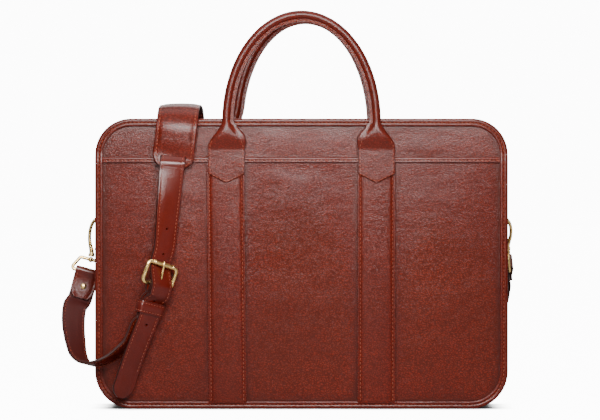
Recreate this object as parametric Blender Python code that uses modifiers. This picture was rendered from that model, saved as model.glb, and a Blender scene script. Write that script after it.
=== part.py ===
"""Leather document case: a zip-top case with a front pocket, two rolled handles and a shoulder strap.

Metres. X runs to the right, Y away from the viewer, Z up. The origin is the middle of the case's
underside. Left and right are the viewer's.
"""

import math

import bmesh
import bpy
from mathutils import Matrix, Vector

# Case body
CASE_WIDTH = 0.413
CASE_HEIGHT = 0.2905
BODY_DEPTH = 0.076  # between the outer faces of the front and back panels
TOP_CORNER = 0.036
BOTTOM_CORNER = 0.038
PANEL_LEATHER = 0.0016
GUSSET_LEATHER = 0.0014
BINDING_LEATHER = 0.001
BINDING_WIDTH = 0.0078
CLEARANCE = 0.0003
SIDE_INSET = 0.012  # how far the side gusset folds in from the outline
SEAM_BELOW_CORNER = 0.012

# Front pocket
POCKET_TOP = CASE_HEIGHT - 0.0385
POCKET_LEATHER = 0.0016
POCKET_BINDING = 0.006
MOUTH_SWELL = 0.0055
PANEL_HOLLOW = 0.0012

# Bands and handles
BAND_WIDTH = 0.038
BAND_LEATHER = 0.0014
HANDLE_SPAN = 0.150
BAND_CENTRE = HANDLE_SPAN / 2
HANDLE_ARCH = 0.107
HANDLE_FOOT = CASE_HEIGHT - 0.0035  # where the roll meets its tab
ROLL_DIAMETER = 0.008
ROLL_SEAM = 0.003
TAB_WIDTH = 0.037
TAB_LENGTH = 0.061
TAB_LEATHER = 0.0016
BACK_HANDLE_LEAN = 0.008

# Zip
ZIP_LENGTH = CASE_WIDTH - 2 * TOP_CORNER - 0.011
ZIP_MOUTH = 0.026
TAPE_SHOWN = 0.005
TAPE_THICKNESS = 0.0008
TAPE_WIDTH = 0.010
TEETH_DIAMETER = 0.0022
SLIDER_SIZE = (0.011, 0.009, 0.0035)

# Shoulder strap
STRAP_WIDTH = 0.0245
STRAP_THICKNESS = 0.0026
PAD_WIDTH = 0.041
PAD_THICKNESS = 0.0055
PUNCH_DIAMETER = 0.0026
PUNCH_SPACING = 0.0255
TURN_BACK = 0.010  # the short strap's end, turned back below the buckle
FLAP_LENGTH = 0.027
KEEPER_WIDTH = 0.012
KEEPER_LEATHER = 0.0014
RIVET_DIAMETER = 0.006
RIVET_HEIGHT = 0.0014

# Buckle, hooks and rings
BUCKLE_WIDTH = 0.0345
BUCKLE_LENGTH = 0.0255
BUCKLE_WIRE = 0.0036
PRONG_WIRE = 0.0022
D_RING_WIRE = 0.0032
D_RING_WIDTH = 0.026
D_RING_HEIGHT = 0.0235
RING_TAB_LENGTH = 0.030
RING_TAB_LEATHER = 0.0013
RING_BAR_HEIGHT = CASE_HEIGHT - 0.0815
HOOK_WIRE = 0.0034
HOOK_LENGTH = 0.041
HOOK_RING_WIRE = 0.0028
GATE_WIRE = 0.0027
SWIVEL_BALL = 0.0056
RING_REACH = 0.0135  # from the swivel's ball to the bar that the strap turns over

# Worked out from the sizes above
PANEL_Y = BODY_DEPTH / 2
POCKET_Y = PANEL_Y + CLEARANCE + POCKET_LEATHER
FLANGE_Y = PANEL_Y - PANEL_LEATHER - CLEARANCE
EDGE_INSET = BINDING_LEATHER + 3 * CLEARANCE
GUSSET_INSET = BINDING_WIDTH + GUSSET_LEATHER
SEAM_Z = CASE_HEIGHT - TOP_CORNER - SEAM_BELOW_CORNER
RING_TAB_WIDTH = D_RING_WIDTH - 2.8 * D_RING_WIRE

CORNER_STEPS = 4
TUBE_SIDES = 2  # a curve's bevel resolution


def clear_scene():
    for old in list(bpy.data.objects):
        bpy.data.objects.remove(old, do_unlink=True)


def new_collection(name):
    collection = bpy.data.collections.new(name)
    bpy.context.scene.collection.children.link(collection)
    return collection


def new_material(name, colour, roughness, metallic=0.0):
    material = bpy.data.materials.new(name)
    material.use_nodes = True
    shader = material.node_tree.nodes["Principled BSDF"]
    shader.inputs["Base Color"].default_value = (*colour, 1.0)
    shader.inputs["Roughness"].default_value = roughness
    shader.inputs["Metallic"].default_value = metallic
    return material


def smoothstep(value):
    value = min(max(value, 0.0), 1.0)
    return value * value * (3 - 2 * value)


def add_object(name, data, material):
    """Link an object that holds this mesh or curve, smooth shaded, to the case's collection."""
    data.materials.append(material)
    made = bpy.data.objects.new(name, data)
    PARTS.objects.link(made)
    if isinstance(data, bpy.types.Mesh):
        data.shade_smooth()
        data.set_sharp_from_angle(angle=math.radians(40))
    return made


def sheet(name, material, columns, rows, place, thickness, back=False, welded=False):
    """Leather cut to place(column, row), its mapped side outwards and its thickness behind it.

    A back sheet is the mirror image across the middle of the case.
    """
    shape = bmesh.new()
    bmesh.ops.create_grid(shape, x_segments=columns, y_segments=rows, size=1.0)
    for vertex in shape.verts:
        column = round((vertex.co.x + 1) / 2 * columns)
        row = round((vertex.co.y + 1) / 2 * rows)
        vertex.co = place(column, row)
    if welded:
        bmesh.ops.remove_doubles(shape, verts=shape.verts, dist=1e-6)
    if back:
        for vertex in shape.verts:
            vertex.co.y = -vertex.co.y
        bmesh.ops.reverse_faces(shape, faces=shape.faces)
    mesh = bpy.data.meshes.new(name)
    shape.to_mesh(mesh)
    shape.free()
    made = add_object(name, mesh, material)
    wall = made.modifiers.new("Wall", "SOLIDIFY")
    wall.thickness = thickness
    wall.offset = -1.0
    wall.use_even_offset = True
    wall.use_quality_normals = True
    return made


def loft(name, material, rings):
    """One closed solid through rings of points, all with the same count and sense."""
    shape = bmesh.new()
    loops = [[shape.verts.new(point) for point in ring] for ring in rings]
    count = len(loops[0])
    for lower, upper in zip(loops, loops[1:]):
        for i in range(count):
            j = (i + 1) % count
            shape.faces.new((lower[i], lower[j], upper[j], upper[i]))
    shape.faces.new(reversed(loops[0]))
    shape.faces.new(loops[-1])
    bmesh.ops.recalc_face_normals(shape, faces=shape.faces)
    mesh = bpy.data.meshes.new(name)
    shape.to_mesh(mesh)
    shape.free()
    return add_object(name, mesh, material)


def wire(name, material, points, diameter, cyclic=False, swell=None):
    """A round wire through these points. swell gives each point's share of the diameter."""
    curve = bpy.data.curves.new(name, "CURVE")
    curve.dimensions = "3D"
    curve.bevel_depth = diameter / 2
    curve.bevel_resolution = TUBE_SIDES
    curve.use_fill_caps = True
    spline = curve.splines.new("POLY")
    spline.points.add(len(points) - 1)
    for index, point in enumerate(points):
        spline.points[index].co = (*point, 1.0)
        if swell:
            spline.points[index].radius = swell[index]
    spline.use_cyclic_u = cyclic
    return add_object(name, curve, material)


def as_mesh(curve_object):
    """Turn a curve object into a mesh object whose end caps are welded on."""
    graph = bpy.context.evaluated_depsgraph_get()
    mesh = bpy.data.meshes.new_from_object(curve_object.evaluated_get(graph))
    shape = bmesh.new()
    shape.from_mesh(mesh)
    bmesh.ops.remove_doubles(shape, verts=shape.verts, dist=1e-6)
    shape.to_mesh(mesh)
    shape.free()
    name, material = curve_object.name, curve_object.data.materials[0]
    bpy.data.objects.remove(curve_object, do_unlink=True)
    mesh.materials.clear()
    return add_object(name, mesh, material)


def as_tool(made):
    """Move an object to the cutters, where it is neither rendered nor built."""
    PARTS.objects.unlink(made)
    CUTTERS.objects.link(made)
    made.hide_render = True
    made.display_type = "WIRE"
    return made


def combine(target, tool, operation):
    step = target.modifiers.new(tool.name, "BOOLEAN")
    step.operation = operation
    step.object = as_tool(tool)


def smooth_route(rows, steps):
    """Points along a smooth curve through the rows, with every column carried along."""
    rows = [Vector(row) for row in rows]
    rows = [2 * rows[0] - rows[1], *rows, 2 * rows[-1] - rows[-2]]
    route = []
    for before, start, end, after in zip(rows, rows[1:], rows[2:], rows[3:]):
        for step in range(steps):
            t = step / steps
            route.append(
                0.5
                * (
                    2 * start
                    + (end - before) * t
                    + (2 * before - 5 * start + 4 * end - after) * t**2
                    + (3 * start - before - 3 * end + after) * t**3
                )
            )
    return [*route, rows[-2]]


# The case's outline


def outline_half(top_shares=(0.0,)):
    """Stations up the right half of the outline, from bottom middle to top middle.

    Each is a point on the outer edge and the direction out of the case there, as (x, z) pairs.
    top_shares places those along the top edge, as shares of half its length.
    """
    half = CASE_WIDTH / 2
    stations = [(0.0, 0.0, 0.0, -1.0)]

    def corner(radius, centre_z, first_angle):
        for step in range(CORNER_STEPS + 1):
            angle = math.radians(first_angle + 90 * step / CORNER_STEPS)
            out_x, out_z = math.cos(angle), math.sin(angle)
            stations.append((half - radius + radius * out_x, centre_z + radius * out_z, out_x, out_z))

    corner(BOTTOM_CORNER, BOTTOM_CORNER, -90)
    for z in sorted((SEAM_Z - CLEARANCE, SEAM_Z + CLEARANCE, POCKET_TOP, POCKET_TOP + 2 * CLEARANCE)):
        stations.append((half, z, 1.0, 0.0))
    corner(TOP_CORNER, CASE_HEIGHT - TOP_CORNER, 0)
    stations += [((half - TOP_CORNER) * share, CASE_HEIGHT, 0.0, 1.0) for share in top_shares]
    return stations


def mirrored(stations):
    return [(-x, z, -out_x, out_z) for x, z, out_x, out_z in reversed(stations)]


def full_outline():
    """Stations once round the outline, counter-clockwise, ending where they start."""
    half = outline_half()
    return half + mirrored(half)[1:]


def half_width(z, inset):
    """Half the width of the outline drawn in by inset, at this height."""
    half = CASE_WIDTH / 2 - inset
    low, high = BOTTOM_CORNER - inset, TOP_CORNER - inset
    if z < BOTTOM_CORNER:
        return half - low + math.sqrt(max(low**2 - (BOTTOM_CORNER - z) ** 2, 0.0))
    if z > CASE_HEIGHT - TOP_CORNER:
        return half - high + math.sqrt(max(high**2 - (z - CASE_HEIGHT + TOP_CORNER) ** 2, 0.0))
    return half


def corner_heights(radius, inset):
    """Heights up a corner of the drawn-in outline, measured from its flat edge."""
    steps = range(CORNER_STEPS + 1)
    small = radius - inset
    return [inset + small * (1 - math.cos(math.pi / 2 * step / CORNER_STEPS)) for step in steps]


# The soft faces


def across(x):
    """How freely the leather stands off at x: nothing at the bands and the sides, all between."""
    from_band = (abs(abs(x) - BAND_CENTRE) - 0.55 * BAND_WIDTH) / (0.58 * BAND_WIDTH)
    from_side = 1 - (abs(x) / (CASE_WIDTH / 2 - BINDING_WIDTH)) ** 6
    return smoothstep(from_band) * max(from_side, 0.0)


def panel_y(x, z):
    """Outer face of the front panel, dished a little towards the pocket's mouth."""
    above = max(z - POCKET_TOP, 0.0) / (CASE_HEIGHT - POCKET_TOP - BINDING_WIDTH)
    below = max(POCKET_TOP - z, 0.0) / POCKET_TOP
    return -PANEL_Y + PANEL_HOLLOW * across(x) * (1 - smoothstep(above)) * (1 - smoothstep(3 * below))


def pocket_y(x, z):
    """Outer face of the pocket, swelling out towards its mouth."""
    return -POCKET_Y - MOUTH_SWELL * across(x) * smoothstep(1.25 * z / POCKET_TOP - 0.1)


def face_lines(reach):
    """Where the columns of a front face stand, out to its edge at reach from the middle line."""
    inner = BAND_CENTRE - 0.55 * BAND_WIDTH
    outer = BAND_CENTRE + 0.55 * BAND_WIDTH
    room = CASE_WIDTH / 2 - BOTTOM_CORNER - outer
    lines = [share * inner for share in (0.35, 0.7, 1.0)]
    lines += [outer + share * room for share in (0.0, 0.3, 0.7)]
    lines += [reach - BINDING_WIDTH, reach]
    return [-x for x in reversed(lines)] + [0.0] + lines


def face_panel(name, heights, inset, outer_y, thickness):
    lines = [face_lines(half_width(z, inset)) for z in heights]

    def place(column, row):
        x = lines[row][column]
        return Vector((x, outer_y(x, heights[row]), heights[row]))

    return sheet(name, LEATHER, len(lines[0]) - 1, len(heights) - 1, place, thickness)


def make_panels():
    low = corner_heights(BOTTOM_CORNER, EDGE_INSET)
    high = [CASE_HEIGHT - z for z in reversed(corner_heights(TOP_CORNER, EDGE_INSET))]
    between = [low[-1] + (POCKET_TOP - low[-1]) * share for share in (0.5, 0.8, 0.93)]
    face_panel("front_panel", low + between + high, EDGE_INSET, panel_y, PANEL_LEATHER)
    plain = low + high
    sides = [half_width(z, EDGE_INSET) for z in plain]

    def flat_place(column, row):
        return Vector((sides[row] * (column - 1), -PANEL_Y, plain[row]))

    sheet("back_panel", LEATHER, 2, len(plain) - 1, flat_place, PANEL_LEATHER, back=True)
    pocket_edge = POCKET_TOP - BINDING_LEATHER - CLEARANCE
    pocket_rows = low + [low[-1] + (pocket_edge - low[-1]) * share for share in (0.25, 0.5, 0.75, 1)]
    face_panel("front_pocket", pocket_rows, EDGE_INSET, pocket_y, POCKET_LEATHER)


def make_pocket_binding():
    """Strip folded over the pocket's top edge, between the side bindings."""
    reach = CASE_WIDTH / 2 - BINDING_WIDTH - CLEARANCE
    xs = [min(max(x, -reach), reach) for x in face_lines(half_width(POCKET_TOP, EDGE_INSET))[1:-1]]
    front = CLEARANCE + BINDING_LEATHER
    back = -POCKET_LEATHER - CLEARANCE / 3
    # Height below the mouth, and distance in front of the pocket's outer face.
    section = (
        (POCKET_BINDING, front),
        (BINDING_LEATHER, front),
        (0.0, front - BINDING_LEATHER),
    )
    lining = BINDING_LEATHER + CLEARANCE / 2

    def ring(x):
        y = pocket_y(x, POCKET_TOP)
        outer = [Vector((x, y - ahead, POCKET_TOP - down)) for down, ahead in section]
        top_back = Vector((x, y - back, POCKET_TOP))
        inner_back = Vector((x, y - back, POCKET_TOP - lining))
        inner = Vector((x, y - CLEARANCE, POCKET_TOP - lining))
        foot = Vector((x, y - CLEARANCE, POCKET_TOP - POCKET_BINDING))
        return [*outer, top_back, inner_back, inner, foot]

    loft("pocket_binding", LEATHER_EDGE, [ring(x) for x in xs])


def ribbon_round(name, material, stations, section, thickness, back=False, welded=False):
    """Leather that follows the outline. section(station) lists (inset, y) from back to front."""
    rows = len(section(stations[0])) - 1

    def place(column, row):
        x, z, out_x, out_z = stations[column]
        inset, y = section(stations[column])[row]
        return Vector((x - out_x * inset, y, z - out_z * inset))

    return sheet(name, material, len(stations) - 1, rows, place, thickness, back, welded)


def binding_section(front_y, back_y):
    """Folded strip round an edge: inner faces at front_y and back_y."""
    outer_front, outer_back = front_y - BINDING_LEATHER, back_y + BINDING_LEATHER
    chamfer = 1.2 * BINDING_LEATHER
    return (
        (BINDING_WIDTH, outer_back),
        (chamfer, outer_back),
        (0.0, outer_back - chamfer),
        (0.0, outer_front + chamfer),
        (chamfer, outer_front),
        (BINDING_WIDTH, outer_front),
    )


def make_bindings():
    back_y = -FLANGE_Y + GUSSET_LEATHER + CLEARANCE
    over_pocket = binding_section(-POCKET_Y - CLEARANCE, back_y)
    over_panel = binding_section(-PANEL_Y - CLEARANCE, back_y)

    def front_section(station):
        return over_pocket if station[1] < POCKET_TOP + CLEARANCE else over_panel

    outline = full_outline()
    ribbon_round("front_binding", LEATHER_EDGE, outline, front_section, BINDING_LEATHER, welded=True)

    def back_section(station):
        return over_panel

    ribbon_round("back_binding", LEATHER_EDGE, outline, back_section, BINDING_LEATHER, back=True, welded=True)


def flange_points():
    """The gusset's turned-out edge beside the back panel, then the fold into the case."""
    outside = FLANGE_Y - GUSSET_LEATHER
    fold = (GUSSET_INSET + 0.4 * GUSSET_LEATHER, outside - 1.6 * GUSSET_LEATHER)
    return [(EDGE_INSET, outside), (GUSSET_INSET, outside), fold]


def make_gusset():
    half = [station for station in outline_half() if station[1] < SEAM_Z]

    def section(station):
        """Sags to the floor along the bottom and folds in up the sides."""
        lift = smoothstep(station[1] / BOTTOM_CORNER)
        middle = SIDE_INSET * lift
        shoulder = GUSSET_INSET + (middle - GUSSET_INSET) * 0.6
        behind = [*flange_points(), (shoulder, 0.72 * FLANGE_Y), (middle, 0.5 * FLANGE_Y)]
        return behind + [(inset, -y) for inset, y in reversed(behind)]

    ribbon_round("gusset", LEATHER, mirrored(half)[:-1] + half, section, GUSSET_LEATHER)


# The top and its zip

TOP_SHARES = (0.94, 0.85, 0.72, 0.5, 0.25, 0.0)


def zip_share(x):
    """0 at the zip's ends and beyond, 1 in its middle."""
    return max(1 - (2 * x / ZIP_LENGTH) ** 2, 0.0)


def tape_edge(x):
    """Distance from the middle line to the teeth's outer edge."""
    return CLEARANCE / 2 + ZIP_MOUTH / 2 * zip_share(x)


def strip_edge(x):
    """Distance from the middle line to the edge of the top strip, which shows some tape."""
    return tape_edge(x) + TAPE_SHOWN * smoothstep(6 * zip_share(x)) + CLEARANCE


def make_top_gussets():
    half = [station for station in outline_half(TOP_SHARES) if station[1] > SEAM_Z]
    stations = half + mirrored(half)[1:]

    def section(station):
        on_top = station[3] > 0.999
        edge = strip_edge(station[0]) if on_top else CLEARANCE / 2
        shoulder = 0.5 * (0.9 * FLANGE_Y + edge)
        level = GUSSET_INSET - GUSSET_LEATHER
        return [*flange_points(), (level, shoulder), (level, edge)]

    def front_section(station):
        return [(inset, -y) for inset, y in reversed(section(station))]

    ribbon_round("top_gusset_front", LEATHER, stations, front_section, GUSSET_LEATHER)
    ribbon_round("top_gusset_back", LEATHER, stations, front_section, GUSSET_LEATHER, back=True)


def make_zip():
    columns = 12
    top = CASE_HEIGHT - GUSSET_INSET + GUSSET_LEATHER
    tape_top = top - GUSSET_LEATHER - CLEARANCE
    end = ZIP_LENGTH / 2
    xs = [end * math.sin(math.pi * (column / columns - 0.5)) for column in range(columns + 1)]
    gap = TEETH_DIAMETER + CLEARANCE

    def tape_place(column, row):
        inner = tape_edge(xs[column]) + gap
        return Vector((xs[column], -(inner + TAPE_WIDTH * (1 - row)), tape_top))

    sheet("zip_tape_front", ZIP_CLOTH, columns, 1, tape_place, TAPE_THICKNESS)
    sheet("zip_tape_back", ZIP_CLOTH, columns, 1, tape_place, TAPE_THICKNESS, back=True)
    for name, side in (("zip_teeth_front", -1), ("zip_teeth_back", 1)):
        line = [(x, side * (tape_edge(x) + TEETH_DIAMETER / 2), tape_top - TEETH_DIAMETER / 2) for x in xs]
        wire(name, BRASS, line, TEETH_DIAMETER)
    bpy.ops.mesh.primitive_cube_add(size=1.0)
    slider = bpy.context.object
    slider.data.transform(Matrix.Diagonal((*SLIDER_SIZE, 1.0)))
    mesh = slider.data
    bpy.data.objects.remove(slider, do_unlink=True)
    slider = add_object("zip_slider", mesh, BRASS)
    slider.location = (-end + 2 * SLIDER_SIZE[0], 0.0, tape_top + CLEARANCE + SLIDER_SIZE[2] / 2)
    rounding = slider.modifiers.new("Rounding", "BEVEL")
    rounding.width = 0.3 * SLIDER_SIZE[2]
    rounding.segments = 2


# Bands and handles


def make_bands():
    """Plain vertical strips, flat because the leather below them is sewn down along both sides."""
    bottom = BINDING_WIDTH + CLEARANCE
    top = POCKET_TOP - POCKET_BINDING - CLEARANCE
    for side, where in ((-1, "left"), (1, "right")):
        for facing, under in (("front", POCKET_Y), ("back", PANEL_Y)):

            def place(column, row, side=side, under=under):
                x = side * BAND_CENTRE + BAND_WIDTH * (column - 0.5)
                return Vector((x, -under - CLEARANCE - BAND_LEATHER, top if row else bottom))

            sheet(f"{facing}_band_{where}", LEATHER, 1, 1, place, BAND_LEATHER, facing == "back")


# Down a tab from the roll: share of its length, share of the way to its full width, share of
# the way to its flat thickness, and what lies behind it there.
TAB_ROWS = (
    (0.00, 0.00, 0.00, "binding"),
    (0.10, 0.06, 0.12, "binding"),
    (0.22, 0.30, 0.50, "panel"),
    (0.34, 0.68, 0.85, "panel"),
    (0.44, 0.95, 1.00, "panel"),
    (0.54, 1.00, 1.00, "band"),
    (0.85, 1.00, 1.00, "band"),
    (1.00, 0.06, 1.00, "band"),
)
ARCH_STEPS = 16
SECTION_SIDES = 10


def handle_section(width, thickness, flatness):
    """Points round the handle: a circle with a sewn seam at its inner side, or a flat tab."""
    points = []
    for side in range(SECTION_SIDES):
        angle = 2 * math.pi * side / SECTION_SIDES
        along, through = math.cos(angle), math.sin(angle)
        power = 1 - 0.8 * flatness
        across_roll = math.copysign(abs(along) ** power, along) * width / 2
        depth = math.copysign(abs(through) ** power, through) * thickness / 2
        seam = ROLL_SEAM * (1 - flatness) ** 2 * max(along, 0.0) ** 4
        points.append((across_roll + seam, depth))
    return points


def make_handle(name, behind, back):
    """behind gives how far out of the case each surface under the handle stands."""
    centres = []
    half_span = HANDLE_SPAN / 2
    for drop, spread, flatness, under in reversed(TAB_ROWS):
        z = HANDLE_FOOT - TAB_LENGTH * drop
        centres.append((-half_span, z, spread, flatness, under))
    for step in range(1, ARCH_STEPS):
        angle = math.pi * (1 - step / ARCH_STEPS)
        z = HANDLE_FOOT + HANDLE_ARCH * math.sin(angle)
        centres.append((half_span * math.cos(angle), z, 0.0, 0.0, "binding"))
    for drop, spread, flatness, under in TAB_ROWS:
        centres.append((half_span, HANDLE_FOOT - TAB_LENGTH * drop, spread, flatness, under))

    rings = []
    for x, z, spread, flatness, under in centres:
        direction = arch_direction(x, z)
        sideways = Vector((direction.z, 0.0, -direction.x))
        width = ROLL_DIAMETER + (TAB_WIDTH - ROLL_DIAMETER) * spread
        thickness = ROLL_DIAMETER + (TAB_LEATHER - ROLL_DIAMETER) * flatness
        depth = -(behind[under] + CLEARANCE + thickness / 2)
        lean = 0.0
        if back:
            rise = smoothstep((z - HANDLE_FOOT + 0.3 * TAB_LENGTH) / (0.6 * TAB_LENGTH))
            lean = BACK_HANDLE_LEAN * rise * (0.5 - x / HANDLE_SPAN)
        ring = []
        for offset, through in handle_section(width, thickness, flatness):
            point = Vector((x + lean, depth + through, z)) + sideways * offset
            if back:
                point.y = -point.y
            ring.append(point)
        rings.append(ring)
    return loft(name, LEATHER, rings)


def arch_direction(x, z):
    """Direction along the handle from its left foot to its right: up, over the ellipse, down."""
    rise = max(z - HANDLE_FOOT, 0.0) / HANDLE_ARCH
    run = x / (HANDLE_SPAN / 2)
    return Vector((rise * HANDLE_SPAN / 2, 0.0, -run * HANDLE_ARCH)).normalized()


def make_handles():
    on_binding = PANEL_Y + CLEARANCE + BINDING_LEATHER
    on_front_band = POCKET_Y + CLEARANCE + BAND_LEATHER
    on_back_band = PANEL_Y + CLEARANCE + BAND_LEATHER
    make_handle("handle_front", {"binding": on_binding, "panel": PANEL_Y, "band": on_front_band}, False)
    make_handle("handle_back", {"binding": on_binding, "panel": PANEL_Y, "band": on_back_band}, True)


# The shoulder strap. A frame is a place with directions across, along and out of the strap there.


class Frame:
    """A place on the strap: its middle, and unit directions across it, along it and out of it."""

    def __init__(self, middle, across, along):
        self.middle = Vector(middle)
        self.along = Vector(along).normalized()
        across = Vector(across)
        self.across = (across - self.along * across.dot(self.along)).normalized()
        self.out = self.across.cross(self.along)

    def at(self, across=0.0, along=0.0, out=0.0):
        return self.middle + self.across * across + self.along * along + self.out * out

    def row(self, along, out):
        """A route row this far along the strap and out of it."""
        return (*self.at(0.0, along, out), *self.across)

    def matrix(self):
        columns = Matrix((self.across, self.along, self.out)).transposed()
        return Matrix.Translation(self.middle) @ columns.to_4x4()


HALF_STRAP = STRAP_THICKNESS / 2
BAR_REACH = (BUCKLE_LENGTH - BUCKLE_WIRE) / 2
BAR_TO_STRAP = BUCKLE_WIRE / 2 + CLEARANCE + HALF_STRAP
RING_TO_STRAP = HOOK_RING_WIRE / 2 + CLEARANCE + HALF_STRAP
LAYER = STRAP_THICKNESS + CLEARANCE
HALF_STACK = 0.62 * LAYER  # from the middle of two layers to the middle of each

# The size of case that the strap's places were chosen on, in X, Y and Z.
DRAWN_CASE = (0.413, 0.076, 0.2905)


def fitted(row):
    """A row whose place is moved with the case's sides when the case has another size."""
    shares = (CASE_WIDTH / DRAWN_CASE[0], BODY_DEPTH / DRAWN_CASE[1], CASE_HEIGHT / DRAWN_CASE[2])
    return (*(length * share for length, share in zip(row, shares)), *row[3:])


BUCKLE = Frame(fitted((-0.1403, -0.0610, 0.1345)), (0.78, 0.62, -0.10), (0.19, 0.02, 0.98))
KEEPER = Frame(fitted((-0.1505, -0.0625, 0.1015)), (0.78, 0.62, -0.20), (0.26, 0.03, 0.965))
HEEL = Frame(BUCKLE.at(along=-BAR_REACH), BUCKLE.across, BUCKLE.along)
TOP_BAR = Frame(BUCKLE.at(along=BAR_REACH), BUCKLE.across, BUCKLE.along)

# Each row: x, y, z of the strap's middle, then the direction across it. Chosen by hand.
TONGUE_ROWS = (
    (-0.1808, -0.0560, 0.0125, 0.78, 0.62, -0.10),
    (-0.1765, -0.0570, 0.0250, 0.78, 0.62, -0.12),
    (-0.1655, -0.0600, 0.0570, 0.78, 0.62, -0.15),
)
TONGUE_WIDTHS = (0.45, 0.93)  # the first rings' shares of the strap's width
HANGING_ROWS = (
    (-0.1362, -0.0560, 0.1620, 0.81, 0.58, -0.06),
    (-0.1345, -0.0550, 0.1800, 0.85, 0.52, -0.05),
    (-0.1318, -0.0548, 0.2090, 0.93, 0.36, -0.05),
    (-0.1298, -0.0548, 0.2300, 0.98, 0.18, -0.06),
)
# Strap rows under and through the pad: x, y, z, across, then the pad beside it there: the side
# it lies on (1 outside, -1 inside), and its shares of full thickness and full width.
PAD_ROWS = (
    (-0.1292, -0.0548, 0.2390, 0.99, 0.10, -0.06, -1.0, 0.40, 0.55),
    (-0.1288, -0.0548, 0.2415, 0.99, 0.09, -0.07, -1.0, 0.42, 0.86),
    (-0.1283, -0.0546, 0.2465, 1.00, 0.06, -0.08, -1.0, 0.48, 1.00),
    (-0.1277, -0.0508, 0.2520, 1.00, 0.03, -0.08, 0.0, 0.52, 1.00),
    (-0.1271, -0.0474, 0.2575, 1.00, 0.00, -0.08, 1.0, 0.60, 1.00),
    (-0.1258, -0.0468, 0.2690, 1.00, 0.00, -0.08, 1.0, 0.95, 1.00),
    (-0.1242, -0.0460, 0.2830, 1.00, 0.00, -0.06, 1.0, 1.00, 1.00),
    (-0.1230, -0.0390, 0.2940, 1.00, 0.00, -0.04, 1.0, 1.00, 1.00),
    (-0.1222, -0.0200, 0.2985, 1.00, 0.00, 0.00, 1.0, 1.00, 1.00),
    (-0.1218, 0.0000, 0.2995, 1.00, 0.00, 0.00, 1.0, 1.00, 1.00),
    (-0.1214, 0.0200, 0.2985, 1.00, 0.00, 0.00, 1.0, 1.00, 1.00),
    (-0.1209, 0.0390, 0.2940, 1.00, 0.00, 0.02, 1.0, 1.00, 1.00),
    (-0.1202, 0.0460, 0.2830, 1.00, 0.00, 0.03, 1.0, 1.00, 1.00),
    (-0.1190, 0.0466, 0.2600, 1.00, 0.00, 0.04, 1.0, 1.00, 1.00),
    (-0.1175, 0.0468, 0.2200, 1.00, 0.00, 0.04, 1.0, 1.00, 1.00),
    (-0.1169, 0.0470, 0.2040, 1.00, 0.00, 0.04, 1.0, 0.85, 1.00),
    (-0.1166, 0.0474, 0.1945, 1.00, 0.00, 0.04, 1.0, 0.60, 1.00),
    (-0.1163, 0.0508, 0.1890, 1.00, 0.00, 0.05, 0.0, 0.52, 1.00),
    (-0.1160, 0.0546, 0.1835, 1.00, 0.01, 0.06, -1.0, 0.48, 1.00),
    (-0.1157, 0.0552, 0.1785, 1.00, 0.02, 0.06, -1.0, 0.42, 0.86),
    (-0.1155, 0.0554, 0.1760, 1.00, 0.03, 0.07, -1.0, 0.40, 0.55),
)
SLOT_ROWS = ((2, 4), (16, 18))
BEHIND_ROWS = (
    (-0.1130, 0.0570, 0.1540, 0.92, 0.38, 0.10),
    (-0.1010, 0.0590, 0.1180, 0.60, 0.78, 0.20),
    (-0.0700, 0.0605, 0.0810, 0.15, 0.98, 0.05),
    (-0.0200, 0.0605, 0.0580, 0.00, 1.00, 0.00),
    (0.0350, 0.0605, 0.0500, 0.00, 1.00, 0.00),
    (0.0900, 0.0605, 0.0530, 0.00, 1.00, 0.00),
    (0.1400, 0.0605, 0.0640, 0.00, 1.00, 0.05),
    (0.1800, 0.0600, 0.0800, -0.05, 0.95, 0.25),
    (0.2060, 0.0570, 0.0990, -0.10, 0.85, 0.50),
)
LOOP_ROWS = (
    (-0.1612, -0.0595, 0.0850, 0.60, 0.77, -0.22),
    (-0.1712, -0.0580, 0.0690, 0.32, 0.92, -0.22),
    (-0.1797, -0.0585, 0.0600, 0.27, 0.93, -0.25),
    (-0.1905, -0.0592, 0.0515, 0.25, 0.93, -0.25),
    (-0.2045, -0.0592, 0.0462, 0.20, 0.95, -0.22),
    (-0.2160, -0.0530, 0.0470, 0.30, 0.93, -0.10),
    (-0.2230, -0.0440, 0.0545, 0.55, 0.82, 0.00),
    (-0.2268, -0.0350, 0.0680, 0.74, 0.66, 0.00),
    (-0.2295, -0.0240, 0.0850, 0.86, 0.50, 0.00),
    (-0.2290, -0.0130, 0.1010, 0.92, 0.38, -0.05),
)
ROUTE_STEPS = 2


def ribbon_rings(rows, width, thickness, narrow=None):
    """Rings of a flat strap along these rows. narrow gives the first rings' shares of the width."""
    rings = []
    for index, row in enumerate(rows):
        before = Vector(rows[max(index - 1, 0)][:3])
        after = Vector(rows[min(index + 1, len(rows) - 1)][:3])
        place = Frame(row[:3], row[3:6], after - before)
        share = narrow[index] if narrow and index < len(narrow) else 1.0
        half, lift = width / 2 * share, thickness / 2
        corners = ((half, lift), (-half, lift), (-half, -lift), (half, -lift))
        rings.append([place.at(across, 0.0, out) for across, out in corners])
    return rings


def along_route(rows, distance):
    """The frame this far along a route of rows."""
    for start, end in zip(rows, rows[1:]):
        step = Vector(end[:3]) - Vector(start[:3])
        if step.length >= distance:
            row = Vector(start[:6]).lerp(Vector(end[:6]), distance / step.length)
            return Frame(row[:3], row[3:], step)
        distance -= step.length
    raise ValueError("the route is shorter than that")


def wrap_rows(frame, radius, end, spread):
    """Rows that come up behind a bar, turn over it and run back down in front for a length."""
    angles = [math.pi * step / 4 for step in range(5)]
    turn = [(radius * math.sin(angle), -radius * math.cos(angle)) for angle in angles]
    meets = min(2.2 * radius, 0.75 * end)
    behind = [(-end, -spread), (-meets, -spread)]
    front = [(-meets, spread), (-end, spread)]
    return [frame.row(along, out) for along, out in (*behind, *turn, *front)]


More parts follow.
